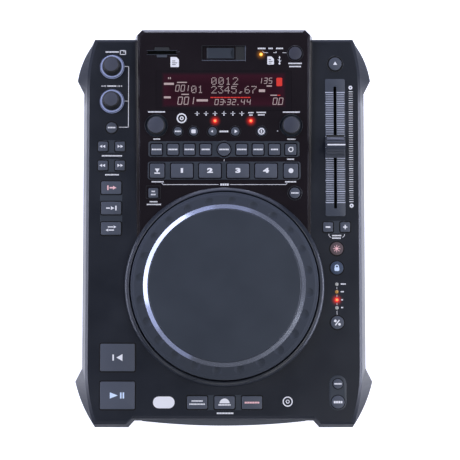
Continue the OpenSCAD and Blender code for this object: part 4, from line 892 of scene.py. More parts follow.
MARKS = {
    "play": play_mark, "cue": cue_mark, "advance": word_bar(7.0),
    "track_back": double_arrow(90), "track_forward": double_arrow(-90),
    "search_back": double_arrow(90), "search_forward": double_arrow(-90),
    "loop_in": step_mark(-3.0, 0.2, 2.6), "loop_out": step_mark(4.3, -2.8, 0.8), "reloop": loop_mark,
    "eject": eject_mark,
    "pitch_down": minus_mark, "pitch_up": plus_mark, "tempo_lock": sun_mark, "key_lock": lock_mark,
    "range": percent_mark, "bpm": word_bar(6.6), "tap": word_bar(8.0, 2.0),
    "jog_mode_1": two_bars(14.0), "jog_mode_2": dome_mark, "jog_mode_3": word_bar(13.2, 1.5),
    "hold": word_bar(8.6), "memory": save_mark, "sampler": dot_mark, "bank": two_bars(4.4),
    "dump": word_bar(6.8), "effect_8": turn_mark,
    **{f"effect_{i + 1}": word_bar(w) for i, w in enumerate((8.6, 8.2, 8.6, 7.4, 8.6, 8.4, 6.6))},
}
# legends lit from behind: the lamp's glow is painted into the ink's colour
INK_GLOWS = {"loop_in": "ink_painted_red_glow", "jog_mode_3": "ink_painted_red_glow", "tempo_lock": "ink_painted_red_glow", "play": "ink_painted_blue_glow",
             "key_lock": "ink_painted_blue_glow"}


def ink():
    """Lowest and highest point of the print on a surface."""
    return -SUNK, bpy.context.scene.case_look.ink_height / MM


def hot_cue_number(name, text, place):
    """A wide figure on a hot cue key."""
    low, high = ink()
    clear()
    bpy.ops.object.text_add(location=(0, 0, 0))
    piece = bpy.context.object
    piece.name = name
    figure = piece.data
    figure.body = text
    figure.align_x, figure.align_y = "CENTER", "CENTER"
    figure.size, figure.offset, figure.extrude = mm(5.5, 0.34, (high - low) / 2)
    figure.resolution_u = 4
    bpy.ops.object.convert(target="MESH")
    finish(piece, place @ Matrix.Diagonal((1.7, 1, 1, 1)), rides(name.removeprefix("legend_")), "ink")


class PLAYER_OT_legends(bpy.types.Operator):
    """Print the plain symbols and numbers on the keys"""
    bl_idname = "player.legends"
    bl_label = "Key symbols"

    def execute(self, context):
        top = context.scene.key_look.proud / MM
        low, high = (top + z for z in ink())
        for key, draw in MARKS.items():
            keys, place = (DECK_KEYS, DECK) if key in DECK_KEYS else (PANEL_KEYS, PANEL)
            piece = begin(f"legend_{key}")
            draw(low, high)
            finish(piece, moved(place, *keys[key][:2]), rides(key), INK_GLOWS.get(key, "ink"))
        for i, x in enumerate(HOT_CUE_X):
            place = PANEL @ Matrix.Translation(mm(x, HOT_CUE_Y, (low + high) / 2))
            hot_cue_number(f"legend_hot_cue_{i + 1}", str(i + 1), place)
        piece = begin("legend_display_keys")
        first, second, third, fourth, fifth = DISPLAY_KEY_X
        words(first, DISPLAY_KEY_Y, 5.4, 1.3, low, high)
        slab(second, DISPLAY_KEY_Y, 4.0, 3.4, low, high, corner=0.6, steps=2)
        arrow(third - 0.3, DISPLAY_KEY_Y, 1.4, low, high, 90)
        arrow(fourth + 0.3, DISPLAY_KEY_Y, 1.9, low, high, -90)
        printed_hoop(fifth, DISPLAY_KEY_Y, 2.5, low, high)
        slab(fifth, DISPLAY_KEY_Y, 1.0, 2.6, low, high)
        finish(piece, PANEL, "display keys", "ink")
        return {"FINISHED"}


# ---------- plates, rings and gaps round the keys ----------

# plates: panel, x, y, width, depth and corner radius, the gap round each key, and the keys
PLATES = {
    "effects": (PANEL, (0.2, -98.8, 135.6, 14.0), 2.2, 0.95, (*[f"effect_{i}" for i in range(1, 9)], "hold")),
    "hot_cues": (PANEL, (0.4, -118.2, 137.2, 16.2), 2.2, 0.95,
                 ("memory", "hot_cue_1", "hot_cue_2", "hot_cue_3", "hot_cue_4", "sampler")),
    "loops": (DECK, (-101.2, 18.5, 19.9, 36.8), 0.6, 0.95, ("loop_in", "loop_out", "reloop")),
    "modes": (DECK, (0.8, -155.2, 48.8, 13.6), 0.6, 0.95, ("jog_mode_1", "jog_mode_2", "jog_mode_3")),
    "tracks": (DECK, (-101.2, 74.4, 15.4, 11.4), 0.6, 0.95, ("track_back", "track_forward")),
    "searches": (DECK, (-101.2, 57.1, 15.4, 11.4), 0.6, 0.95, ("search_back", "search_forward")),
    "pitches": (DECK, (101.4, 1.4, 15.4, 11.4), 0.6, 0.95, ("pitch_down", "pitch_up")),
    "tempo": (DECK, (101.8, -146.6, 15.2, 31.0), 7.4, 0.7, ("bpm", "tap")),
}


def round_keys(name, keys, wider, corner, low, high, round_wider=None):
    """A new piece, open, with a block or a disc at each key that stands out round it by the given width."""
    piece = begin(name)
    for x, y, w, d in keys:
        if d:
            slab(x, y, w + 2 * wider, d + 2 * wider, low, high, corner, steps=4)
        else:
            puck(x, y, w / 2 + (round_wider or wider), low, high, sides=64)
    return piece


class PLAYER_OT_surrounds(bpy.types.Operator):
    """Model the plates between the keys, and the rings round keys and knobs"""
    bl_idname = "player.surrounds"
    bl_label = "Plates between keys"

    def execute(self, context):
        for name, (place, outline, corner, gap, keys) in PLATES.items():
            piece = begin(f"plate_{name}")
            slab(*outline, PLATE_LOW, PLATE_HIGH, corner, 0.15)
            specs = [(DECK_KEYS if place is DECK else PANEL_KEYS)[key] for key in keys]
            cut(piece, round_keys(f"plate_{name}_holes", specs, gap, 1.6, -THROUGH, THROUGH))
            finish(piece, place, "case", "surround")
        piece = begin("rings_wedge")
        for x, y in SMALL_KNOBS.values():
            hoop(x, y, 10.15, 0, 0.25)
        hoop(*PANEL_KEYS["source"][:2], 7.0, 0, 0.25)
        hoop(*PANEL_KEYS["dump"][:2], 6.3, 0, 0.35)
        hoop(DISPLAY_KEY_X[0], DISPLAY_KEY_Y, 5.0, 0, 0.2, sides=48)
        copies_to(DISPLAY_KEY_X)
        # a frame of fine lines round the bank key
        x, y = PANEL_KEYS["bank"][0], -137.6
        slab(x - 6.5, y, 0.4, 11.0, FINE_LOW, FINE_HIGH)
        copies(1, 13.0)
        slab(x, y - 5.7, 13.0, 0.4, FINE_LOW, FINE_HIGH)
        copies(1, 0, 11.4)
        finish(piece, PANEL, "case", "trim")
        piece = begin("ring_hold")
        hoop(*PANEL_KEYS["hold"][:2], 7.5, 0.15, 0.4)
        finish(piece, PANEL, "case", "surround")
        # painted shade in the gaps round the keys of the deck: a near-black ring round each key
        keys = DECK_KEYS.values()
        piece = round_keys("key_gaps_painted_shade", keys, 1.0, 2.0, -0.2, 0.03, round_wider=1.1)
        cut(piece, round_keys("key_gap_holes", keys, 0.2, 1.3, -THROUGH, THROUGH))
        finish(piece, DECK, "case", "gap_painted_shade")
        piece = begin("rings_deck")
        hoop(*DECK_KEYS["eject"][:2], 7.3, 0, 0.3)
        finish(piece, DECK, "case", "trim")
        return {"FINISHED"}


# pieces in and round the card's slot and the port: material, and for each block its x, y, width, depth,
# lowest and highest point, corner, edge and turn
RECESSES = {
    "card_slot_guides": ("well", (CARD_X, -8.5, 13.4, 3.4, -1.6, -0.35, 0.5, 0.2)),
    "card_slot_lines": ("surround", (CARD_X, -9.9, 27.6, 0.4, -0.2, 0.12),
                        (CARD_X, -13.65, 27.6, 0.4, -0.2, 0.12),
                        (-41.2, -11.2, 3.6, 0.4, -0.2, 0.12, 0, 0, 8)),
    "card_slot_tab": ("pale_plate_and_painted_highlight", (CARD_X, -14.8, 9.4, 2.6, -1.6, -0.25, 0.5, 0.2)),
    "port_frame": ("trim", (-19.6, PORT_Y, 0.45, 13.4, -0.3, 0.15),
                   (0, PORT_Y + 6.6, 39.6, 0.45, -0.3, 0.15)),
    # the recess's right and front edges are chamfered, and their pale colour is a painted highlight along
    # them
    "port_sill_painted_highlight": ("pale_plate_and_painted_highlight", (19.5, PORT_Y, 0.9, 13.4, -0.6, 0.15, 0, 0.3),
                  (0, PORT_Y - 6.6, 39.9, 0.9, -0.6, 0.15, 0, 0.3)),
    "port_floor": ("well", (15.0, PORT_Y, 8.4, 12.5, -1.8, -1.62, 0.3)),
}


class PLAYER_OT_recesses(bpy.types.Operator):
    """Model what lies in and round the memory card's slot and the memory stick's port"""
    bl_idname = "player.recesses"
    bl_label = "Card slot and port"

    def execute(self, context):
        for name, (finish_name, *blocks) in RECESSES.items():
            piece = begin(name)
            for block in blocks:
                slab(*block)
            finish(piece, PANEL, "case", finish_name)
        piece = begin("port_lid_grip")
        slab(7.4, PORT_Y, 0.5, 7.6, -0.5, 0.1, 0.2, steps=2)
        copies(1, 1.0)
        finish(piece, PANEL, "port lid", "surround")
        return {"FINISHED"}


# ---------- knobs ----------

def ribs(count):
    """Grip ribs that lean in towards a knob's top."""
    bpy.ops.mesh.primitive_cube_add(size=1, location=mm(7.6, 0, 5.6), rotation=(0, math.radians(-7), 0),
                                    scale=mm(1.0, 0.55, 8.4))
    for _ in range(count - 1):
        bpy.ops.mesh.duplicate()
        bpy.ops.transform.rotate(value=math.tau / count, orient_axis="Z", center_override=(0, 0, 0))


# profiles of the ring round a large knob and of the dished well round a small one
BIG_RING = ((8.6, -0.2), (8.6, 1.1), (8.85, 1.6), (9.3, 1.88), (9.8, 1.85), (10.3, 1.55), (10.75, 1.0),
            (11.0, 0.4), (11.05, -0.2))
SMALL_WELL = ((7.85, -1.5), (7.85, -1.3), (9.2, -1.15), (9.8, -0.6), (10.0, -0.1), (10.1, -0.1), (10.1, -1.5))


def insert(r, low, high, edge):
    puck(0, 0, r, low, high, edge, sides=64)


class PLAYER_OT_knobs(bpy.types.Operator):
    """Model the grip ribs, the top caps, the bright rings and the dished wells of the knobs"""
    bl_idname = "player.knobs"
    bl_label = "Knobs"

    def execute(self, context):
        for name, (x, y) in BIG_KNOBS.items():
            place, dial = moved(DECK, x, y), f"{name} dial"
            piece = repeat(f"knob_{name}_ribs", ribs, context.scene.knob_look.ribs)
            finish(piece, place, dial, "rubber")
            piece = repeat(f"knob_{name}_insert", insert, 6.1, 11.4, 12.12, 0.2)
            finish(piece, place, dial, "insert")
            piece = repeat(f"ring_{name}", lathe, BIG_RING, 96)
            finish(piece, place, "case", "ring", smooth=60)
        for name, (x, y) in SMALL_KNOBS.items():
            place = moved(PANEL, x, y)
            piece = repeat(f"knob_{name}_insert", insert, 7.0, 7.0, 7.62, 0.25)
            finish(piece, place, f"{name} dial", "cap")
            piece = repeat(f"well_{name}", lathe, SMALL_WELL, 96)
            finish(piece, place, "case", "surround", smooth=60)
        return {"FINISHED"}


# ---------- pitch fader ----------

def scale_marks(inner, side, y, bold, fine, low, high):
    """Adds a scale's marks from y towards the front, every fifth one bold; they start at x inner."""
    w, d = bold
    slab(inner + side * w / 2, y, w, d, low, high)
    copies(SCALE_MARKS // 5, 0, -5 * SCALE_STEP)
    w, d = fine
    for first in range(1, SCALE_MARKS, 5):
        slab(inner + side * w / 2, y - first * SCALE_STEP, w, d, low, high)
        copies(3, 0, -SCALE_STEP)


class PLAYER_OT_fader(bpy.types.Operator):
    """Model the scale plate of the pitch fader, its marks, and the line, step and painted-shade pads on its
    cap
    """
    bl_idname = "player.fader"
    bl_label = "Pitch fader"

    def execute(self, context):
        low, high = ink()
        plate_top = 0.68
        piece = begin("fader_plate")
        slab(FADER_X, FADER_Y, 17.9, 124.7, 0.1, plate_top, 1.5, 0.12)
        cutter = begin("fader_slot")
        slab(FADER_X, FADER_Y, 2.6, 110.8, -1, 2, 0.6)
        cut(piece, cutter)
        finish(piece, DECK, "case", "pale_plate_and_painted_highlight")
        piece = begin("fader_ticks")
        for side in (-1, 1):
            scale_marks(FADER_X + 1.45 * side, side, FADER_Y + 50, (7.4, 0.8), (6.9, 0.5), plate_top - 0.08,
                        plate_top + high)
        finish(piece, DECK, "case", "scale")
        # second scale beside the plate, between two small rings
        piece = begin("tempo_ticks")
        scale_marks(113.05, 1, 124.4, (3.7, 0.65), (3.7, 0.4), low, high)
        finish(piece, DECK, "case", "ink")
        piece = begin("tempo_rings")
        for x, y in ((114.7, 128.1), (115.1, 20.8)):
            hoop(x, y, 1.2, 0, 0.6, flat=0.1, sides=40)
        finish(piece, DECK, "case", "ink")
        piece = begin("fader_line")
        slab(FADER_X, CAP_Y, 16.0, 1.15, CAP_TOP - 0.2, CAP_TOP + 0.06, 0.3, steps=2)
        finish(piece, DECK, "pitch fader", "ink")
        # polished finger step on the cap's rear slope
        piece = begin("fader_step")
        slab(0, 0, 15.4, 2.7, -0.5, 0.25, 0.3, 0.15, steps=2)
        slope = moved(DECK, FADER_X, CAP_Y + 6.8, 4.4) @ Matrix.Rotation(math.radians(-30), 4, "X")
        finish(piece, slope, "pitch fader", "cap")
        # painted shade: dark pads in the knob rubber's colour behind the ridge and on the rear foot, the
        # slopes away from the light
        piece = begin("fader_painted_shade_pads")
        slab(0, 0, 15.8, 3.9, -0.3, 0.12, 0.3, 0.1, steps=2)
        bpy.ops.transform.rotate(value=math.radians(69.4), orient_axis="X", center_override=(0, 0, 0))
        bpy.ops.transform.translate(value=mm(0, 1.85, 12.3))
        slab(0, 9.55, 15.8, 1.3, 3.0, 3.95, 0.2, 0.15, steps=2)
        finish(piece, moved(DECK, FADER_X, CAP_Y), "pitch fader", "rubber")
        return {"FINISHED"}


# ---------- jog wheel ----------

# rings: body, material, slot, smoothing angle, and the profile's radii and heights
JOG_RINGS = {
    "jog_bright_ring": ("jog", "nickel", "jog plastic", 15,
                        ((68.1, 103.1), (68.15, 103.36), (71.9, 101.74), (72.0, 101.4))),
    "jog_lip": ("jog", "rim", "jog plastic", 60,
                ((81.6, 98.2), (82.5, 97.95), (83.2, 97.3), (83.45, 96.4), (83.2, 95.5), (82.1, 95.0))),
    "jog_bezel": ("case", "bezel", "case plastic", 60,
                  ((84.7, 84.6), (84.75, 88.3), (85.0, 88.85), (85.4, 89.0), (85.9, 88.85), (88.3, 87.4),
                   (89.1, 86.5), (89.6, 85.2), (89.7, 83.9))),
}


class PLAYER_OT_jog(bpy.types.Operator):
    """Model the bright bevel ring of the jog wheel, its lip and the raised ring round it"""
    bl_idname = "player.jog"
    bl_label = "Jog wheel"

    def execute(self, context):
        for name, (body, finish_name, slot, smooth, profile) in JOG_RINGS.items():
            piece = begin(name)
            lathe(profile, 256)
            finish(piece, JOG, body, finish_name, smooth)
        return {"FINISHED"}


# ---------- lamps and display ----------

def lens(r):
    """A lamp's domed lens."""
    puck(0, 0, r, -0.6, 0.85, 0.7, sides=40)


class PLAYER_OT_lamps(bpy.types.Operator):
    """Model the status lamps"""
    bl_idname = "player.lamps"
    bl_label = "Lamps"

    def execute(self, context):
        for name, (panel, x, y, r, kind) in LAMPS.items():
            piece = repeat(f"lamp_{name}", lens, r)
            finish(piece, moved(panel, x, y), "case", kind, smooth=60)
        return {"FINISHED"}


# dot characters: text, x, y and pitch
DOT_ROWS = (("0012", -8.8, -37.5, 6.45), ("01", -26.9, -45.0, 6.0), ("2345.67", -8.8, -45.3, 6.0))
# segment digits: text, x, y, width, height, pitch and the stroke's width as a factor
DIGIT_ROWS = (
    ("00", -41.6, -43.9, 3.5, 6.0, 4.8, 0.8), ("1", -33.4, -43.9, 3.5, 6.0, 4.8, 0.8),
    ("00", -39.2, -55.2, 4.2, 7.2, 5.6, 1.0), ("1", -28.6, -55.2, 3.4, 7.2, 5.0, 1.0),
    ("03", -6.4, -56.4, 3.4, 5.3, 4.6, 0.8), ("32", 4.6, -56.4, 3.4, 5.3, 4.6, 0.8),
    ("44", 17.2, -56.4, 3.4, 5.3, 5.2, 0.8), ("1", 32.7, -37.2, 3.2, 5.4, 4.4, 0.8),
    ("35", 37.7, -37.2, 3.2, 5.4, 4.4, 0.8), ("00", 46.2, -55.7, 3.9, 6.4, 5.2, 0.9),
)
# colon and decimal points
POINTS = ((0.9, -55.6), (1.3, -56.8), (12.8, -58.7), (48.9, -58.7))
DISPLAY_MARKS = ((-49.3, -40.0, 9.0, 1.9), (-50.7, -52.2, 6.2, 1.8), (-19.3, -54.9, 10.2, 2.0),
                 (34.4, -46.2, 5.6, 2.4), (-49.6, -34.9, 0.9, 1.7), (-48.0, -34.9, 0.9, 1.7),
                 (-37.6, -38.7, 9.0, 0.9), (-34.7, -49.5, 6.8, 0.9), (41.0, -42.0, 4.8, 1.1),
                 (45.0, -50.3, 6.0, 0.9))


class PLAYER_OT_display(bpy.types.Operator):
    """Model the lit characters of the display, numbers only"""
    bl_idname = "player.display"
    bl_label = "Display"

    def execute(self, context):
        stroke = context.scene.display_look.stroke / MM
        low, high = -SUNK, 0.04
        piece = begin("display_digits")
        for row in DOT_ROWS:
            dots(*row, low, high)
        for *row, factor in DIGIT_ROWS:
            digits(*row, stroke * factor, low, high)
        for x, y in POINTS:
            slab(x, y, 0.8, 0.8, low, high)
        finish(piece, PANEL, "case", "digit")
        piece = begin("display_marks")
        for spec in DISPLAY_MARKS:
            slab(*spec, low, high, 0.25, steps=2)
        finish(piece, PANEL, "case", "digit")
        piece = begin("display_red")
        slab(-10.6, -52.3, 2.7, 0.9, low, high)
        copies(11, 3.02)
        slab(50.0, -38.3, 5.2, 7.6, low, high, 0.9, steps=3)
        slab(49.6, -50.3, 2.6, 0.7, low, high)
        finish(piece, PANEL, "case", "segment_red")
        return {"FINISHED"}


# ---------- print ----------

# labels, each a row of small blocks: x, y, width and depth
PANEL_LABELS = (
    (-60.4, -65.3, 15.4, 1.2), (60.8, -65.5, 15.4, 1.2), (-60.2, -89.8, 6.4, 1.1), (60.8, -89.9, 7.6, 1.1),
    (24.4, -66.0, 5.0, 1.1), (24.4, -68.2, 3.2, 1.1), (33.8, -65.8, 8.6, 1.1), (33.8, -68.0, 6.2, 1.1),
    (34.2, -8.1, 7.2, 1.3), (42.2, -8.1, 4.2, 1.3), (50.3, -8.1, 6.4, 1.3),
    (64.2, -21.6, 12.2, 1.2), (64.2, -24.4, 10.7, 1.2), (0.2, -82.9, 8.2, 1.5),
    (-59.3, -128.2, 11.0, 1.1), (60.1, -128.2, 10.2, 1.2), (60.1, -107.9, 6.4, 1.1),
    (-63.0, -146.1, 7.2, 1.1), (-62.7, -148.6, 13.0, 1.1), (0.7, -130.7, 8.0, 1.8),
)
DECK_LABELS = (
    (-101.3, 160.9, 12.0, 1.3), (-101.4, 129.6, 8.4, 1.3), (-100.9, 66.0, 18.4, 1.2),
    (-100.7, 48.8, 12.6, 1.2), (1.3, -164.7, 15.0, 1.4), (101.5, -6.2, 8.4, 1.2), (101.3, -8.5, 8.0, 1.2),
    (107.1, -49.7, 4.6, 1.2), (106.2, -56.6, 3.0, 1.1), (106.0, -63.8, 1.6, 1.2), (106.0, -70.8, 2.0, 1.1),
)
# lines: x, y, width, depth and degrees
PANEL_LINES = (
    (-29.4, -130.7, 49.6, 0.45, 0), (30.8, -130.7, 50.0, 0.45, 0), (-54.9, -130.0, 1.9, 0.45, -45),
    (56.5, -130.0, 1.9, 0.45, 45), (38.1, -11.9, 3.6, 0.4, 0), (46.1, -11.9, 3.0, 0.4, 0),
    (54.7, -11.9, 3.6, 0.4, 0), (0.4, -108.8, 0.4, 1.8, 0), (47.2, -11.2, 1.0, 0.4, -50),
    (35.6, -11.2, 1.6, 0.4, -50),
)
DECK_LINES = (
    (-86.2, 119.8, 0.55, 56.0, 0), (-87.9, 147.6, 3.9, 0.5, 0), (-88.0, 115.9, 3.4, 0.5, 0),
    (-90.3, 92.0, 8.6, 0.5, 0), (94.6, -5.8, 0.45, 2.0, 10), (95.8, -7.4, 1.8, 0.45, -30),
    (108.4, -5.8, 0.45, 2.0, -10), (107.2, -7.4, 1.8, 0.45, 30), (101.4, -53.3, 0.4, 1.9, 0),
    (101.4, -60.3, 0.4, 1.9, 0), (101.4, -67.5, 0.4, 1.9, 0), (101.4, -75.4, 0.4, 3.4, 0),
    # folder symbol: a frame with a tab
    (-91.5, 162.2, 5.2, 0.7, 0), (-91.5, 158.6, 5.2, 0.7, 0), (-93.9, 160.4, 0.7, 4.2, 0),
    (-89.1, 160.4, 0.7, 4.2, 0), (-90.4, 161.0, 1.6, 0.6, 0),
)
# card symbols: x, y, width, depth and the width of the lines across them
CARDS = ((-44.1, -20.3, 7.6, 9.2, 4.6), (42.2, -18.9, 6.0, 7.4, 3.6))


def labels_and_lines(labels, lines, low, high):
    for spec in labels:
        words(*spec, low, high)
    for *spec, turn in lines:
        slab(*spec, low, high, turn=turn)


def card_symbol(x, y, w, d, low, high):
    """A sheet with a cut corner."""
    slab(x, y - 1.0, w, d - 2.0, low, high, 0.6, steps=2)
    slab(x - 1.0, y + d / 2 - 1.4, w - 2.0, 2.6, low, high + CROSS, 0.5, steps=2)
    slab(x + w / 2 - 2.0, y + d / 2 - 2.2, 2.6, 2.6, low, high + 2 * CROSS, turn=45)


def plug_symbol(x, y, low, high):
    slab(x, y, 0.6, 6.2, low, high)
    arrow(x, y + 3.0, 1.1, low, high + CROSS)
    puck(x, y - 2.8, 0.9, low, high + CROSS, sides=24)
    slab(x - 0.8, y + 0.4, 2.0, 0.5, low, high + 2 * CROSS, turn=-45)
    slab(x + 0.8, y - 0.6, 2.0, 0.5, low, high + 2 * CROSS, turn=45)


def beat_marks(x, y, low, high):
    """A row of six small figures."""
    for dy, w, d in ((0, 4.2, 0.42), (1.2, 0.7, 1.2), (-1.3, 1.1, 1.3)):
        slab(x, y + dy, w, d, low, high)
        copies(5, 8.04)


def turn_arrows(x, y, low, high):
    """An arrow head and a bar on each side of the track knob's label."""
    for side in (-1, 1):
        arrow(x + side * 7.0, y, 0.85, low, high, -90 * side)
        copies(1, side * 1.8)
        slab(x + side * 5.6, y, 0.5, 1.5, low, high)


class PLAYER_OT_print(bpy.types.Operator):
    """Print the lines, plain label bars and symbols on the case and the panel"""
    bl_idname = "player.print"
    bl_label = "Print"

    def execute(self, context):
        low, high = ink()
        piece = begin("print_panel")
        labels_and_lines(PANEL_LABELS, PANEL_LINES, low, high)
        for *spec, _ in CARDS:
            card_symbol(*spec, low, high)
        plug_symbol(50.2, -19.0, low, high)
        # plain disc symbol
        hoop(-37.8, -71.0, 3.9, 0, 0.6, flat=0.1, sides=48)
        hoop(-37.8, -71.0, 1.3, 0, 0.5, flat=0.1, sides=32)
        beat_marks(-23.9, -66.7, low, high)
        puck(48.3, -82.5, 0.45, low, 0.2, sides=16)
        finish(piece, PANEL, "case", "ink")
        piece = begin("card_symbol_lines")
        for x, y, _, _, w in CARDS:
            for dy, part in ((0.9, 0.6), (-0.8, 1.0), (-2.4, 0.7)):
                slab(x - w * (1 - part) / 2, y + dy, w * part, 0.6, low, high + 4 * CROSS)
        finish(piece, PANEL, "case", "trim")
        piece = begin("print_deck")
        labels_and_lines(DECK_LABELS, DECK_LINES, low, high)
        turn_arrows(-101.4, 129.6, low, high)
        finish(piece, DECK, "case", "ink")
        piece = begin("print_dots")
        # plain disc symbol at the front right, and a plain badge at the front left
        hoop(57.0, -154.4, 4.0, 0, 0.5, flat=0.1, sides=48)
        hoop(57.0, -154.4, 1.4, 0, 0.35, flat=0.15, sides=32)
        slab(-53.3, -155.1, 19.2, 10.4, low, high, 5.1, steps=10)
        finish(piece, DECK, "case", "ink")
        return {"FINISHED"}


# ---------- rear jacks ----------

COLLAR = ((1.7, 7.0), (1.75, 7.3), (2.2, 7.46), (3.6, 7.46), (3.95, 7.3), (4.0, 7.0))


class PLAYER_OT_rear(bpy.types.Operator):
    """Model the coloured collars of the rear jacks"""
    bl_idname = "player.rear"
    bl_label = "Rear jacks"

    def execute(self, context):
        to_rear = Matrix.Rotation(math.radians(-90), 4, "X")
        for i, dye in enumerate(COLLARS):
            piece = repeat(f"jack_collar_{dye}", lathe, COLLAR, 64)
            place = Matrix.Translation(mm(-66 + 18 * i, 170.4, 29)) @ to_rear
            finish(piece, place, "case", f"nylon_{dye}", smooth=60)
        return {"FINISHED"}


# ---------- stage ----------

# what a light aims at, in metres
LOW, MIDDLE, TOP = (0, 0, 0.05), (0, 0, 0.08), (0, -0.05, 0.1)
WHITE, PALE, COOL, LILAC, BLUE = "#ffffff", "#e0e4ff", "#dfe4ff", "#cbd2ff", "#d5dbff"
# lights: place in metres, aim, width and height in metres, watts and colour
LIGHTS = {
    "softbox_left_rear": ((-0.87, 0.47, 1.46), MIDDLE, (0.5, 0.35), 3.0, WHITE),
    "softbox_right_rear": ((0.87, 0.47, 1.46), MIDDLE, (0.5, 0.35), 5.2, WHITE),
    "softbox_left_front": ((-0.87, -0.47, 1.46), MIDDLE, (0.5, 0.35), 2.8, WHITE),
    "softbox_right_front": ((0.87, -0.47, 1.46), MIDDLE, (0.5, 0.35), 5.2, WHITE),
    "front_left": ((-1.0, -1.42, 0.86), LOW, (0.7, 0.3), 1.2, WHITE),
    "front_right": ((1.0, -1.42, 0.86), LOW, (0.7, 0.3), 2.2, WHITE),
    "front_middle": ((0.0, -1.74, 0.86), LOW, (0.9, 0.3), 1.8, WHITE),
    "key_left": ((-1.045, 0.47, 1.14), TOP, (1.7, 0.3), 6.8, PALE),
    "overhead_right": ((0.6, -0.5, 1.42), TOP, (0.4, 0.5), 2.0, WHITE),
    "strip_left": ((-2.3, 0.0, 0.26), LOW, (2.4, 0.3), 30, COOL),
    "strip_right": ((2.3, -0.3, 0.26), LOW, (2.4, 0.3), 46, COOL),
    "strip_rear": ((0.0, 2.1, 0.95), LOW, (2.6, 0.8), 15, BLUE),
    "strip_rear_low": ((0.0, 2.4, 0.32), LOW, (2.4, 0.35), 30, COOL),
    "strip_front": ((0.0, -2.3, 0.36), LOW, (2.4, 0.35), 1, COOL),
}
# weak lights beside key_left, so that the bevel's highlight fades out through lilac: degrees round
# the jog wheel, width in metres and watts
FADES = {"rear": (106, 0.35, 0.5), "rear_far": (84, 0.5, 0.3), "front": (201, 0.4, 0.45),
         "front_far": (228, 0.6, 0.28)}
FADE_AWAY, FADE_HEIGHT = 1.11, 1.1
SKY, SKY_POWER = "#e2e5fa", 0.08
# camera: place and focal length in millimetres, and degrees off straight down
CAMERA_PLACE, CAMERA_LENS, CAMERA_TILT = (5.66, -101.2, 1355.1), 111.05, 4.5


def area_light(name, place, aim, size, power, tone):
    light = bpy.data.lights.new(name, "AREA")
    light.shape = "RECTANGLE"
    light.size, light.size_y = size
    light.energy = power * bpy.context.scene.stage_look.light
    light.color = linear(tone)
    placed = bpy.data.objects.new(name, light)
    bpy.context.scene.collection.objects.link(placed)
    placed.location = place
    placed.rotation_euler = (Vector(aim) - Vector(place)).to_track_quat("-Z", "Y").to_euler()


def lay_floor(look):
    """Opal acrylic table lit from below: white, almost without shadows."""
    clear()
    bpy.ops.mesh.primitive_plane_add(size=look.width, location=(0, 0, 0))
    floor = bpy.context.object
    floor.name = "floor"
    opal = moulded("floor_opal_acrylic", look.floor, 0.7, 2.0, 0.004, spread=0.01)
    shader = opal.node_tree.nodes["Principled BSDF"]
    shader.inputs["Emission Color"].default_value = shade(look.floor)
    shader.inputs["Emission Strength"].default_value = look.glow
    floor.data.materials.append(opal)


def set_camera():
    data = bpy.data.cameras.new("camera")
    data.lens = CAMERA_LENS
    data.sensor_width = 36
    data.clip_start, data.clip_end = 0.05, 20
    camera = bpy.data.objects.new("camera", data)
    bpy.context.scene.collection.objects.link(camera)
    camera.location = mm(*CAMERA_PLACE)
    camera.rotation_euler = (math.radians(CAMERA_TILT), 0, 0)
    bpy.context.scene.camera = camera


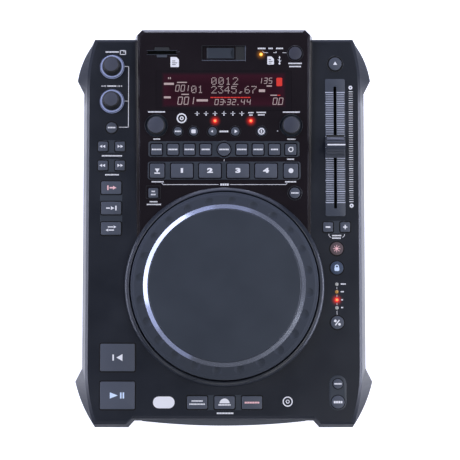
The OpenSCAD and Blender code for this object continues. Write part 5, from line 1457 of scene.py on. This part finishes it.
class PLAYER_OT_stage(bpy.types.Operator):
    """Set the floor, the lights and the camera"""
    bl_idname = "player.stage"
    bl_label = "Floor, lights and camera"

    def execute(self, context):
        lay_floor(context.scene.stage_look)
        for name, light in LIGHTS.items():
            area_light(name, *light)
        for name, (turn, wide, power) in FADES.items():
            away = Matrix.Rotation(math.radians(turn), 3, "Z") @ Vector((FADE_AWAY, 0, 0))
            place = (away.x, away.y + TOP[1], FADE_HEIGHT)
            area_light(f"fade_{name}", place, TOP, (wide, 0.3), power, LILAC)
        world = bpy.data.worlds.new("studio")
        context.scene.world = world
        world.use_nodes = True
        back = world.node_tree.nodes["Background"]
        back.inputs["Color"].default_value = shade(linear(SKY))
        back.inputs["Strength"].default_value = SKY_POWER
        set_camera()
        # plain colours: the white of the floor stays white and the darks stay dark
        context.scene.view_settings.view_transform = "Standard"
        return {"FINISHED"}


class PLAYER_PT_panel(bpy.types.Panel):
    """Finish of the disc player"""
    bl_idname = "PLAYER_PT_panel"
    bl_label = "Disc player"
    bl_space_type = "VIEW_3D"
    bl_region_type = "UI"
    bl_category = "Player"

    def draw(self, context):
        for group, name in GROUPS.items():
            box = self.layout.box()
            box.label(text=group.__doc__)
            for key in group.__annotations__:
                box.prop(getattr(context.scene, name), key)
        for step in STEPS:
            self.layout.operator(step.bl_idname)


GROUPS = {CaseLook: "case_look", KeyLook: "key_look", KnobLook: "knob_look", JogLook: "jog_look",
          DisplayLook: "display_look", StageLook: "stage_look"}
STEPS = (PLAYER_OT_materials, PLAYER_OT_keys, PLAYER_OT_legends, PLAYER_OT_surrounds, PLAYER_OT_recesses,
         PLAYER_OT_knobs, PLAYER_OT_fader, PLAYER_OT_jog, PLAYER_OT_lamps, PLAYER_OT_display, PLAYER_OT_print,
         PLAYER_OT_rear, PLAYER_OT_stage)


def register():
    for cls in (*GROUPS, *STEPS, PLAYER_PT_panel):
        bpy.utils.register_class(cls)
    for group, name in GROUPS.items():
        setattr(bpy.types.Scene, name, PointerProperty(type=group))


def unregister():
    for name in GROUPS.values():
        delattr(bpy.types.Scene, name)
    for cls in (PLAYER_PT_panel, *reversed(STEPS), *reversed(GROUPS)):
        bpy.utils.unregister_class(cls)


def main():
    register()
    bpy.ops.player.materials()
    bpy.ops.player.keys()
    bpy.ops.player.legends()
    bpy.ops.player.surrounds()
    bpy.ops.player.recesses()
    bpy.ops.player.knobs()
    bpy.ops.player.fader()
    bpy.ops.player.jog()
    bpy.ops.player.lamps()
    bpy.ops.player.display()
    bpy.ops.player.print()
    bpy.ops.player.rear()
    bpy.ops.player.stage()
    clear()
    remove_models()


if __name__ == "__main__":
    main()
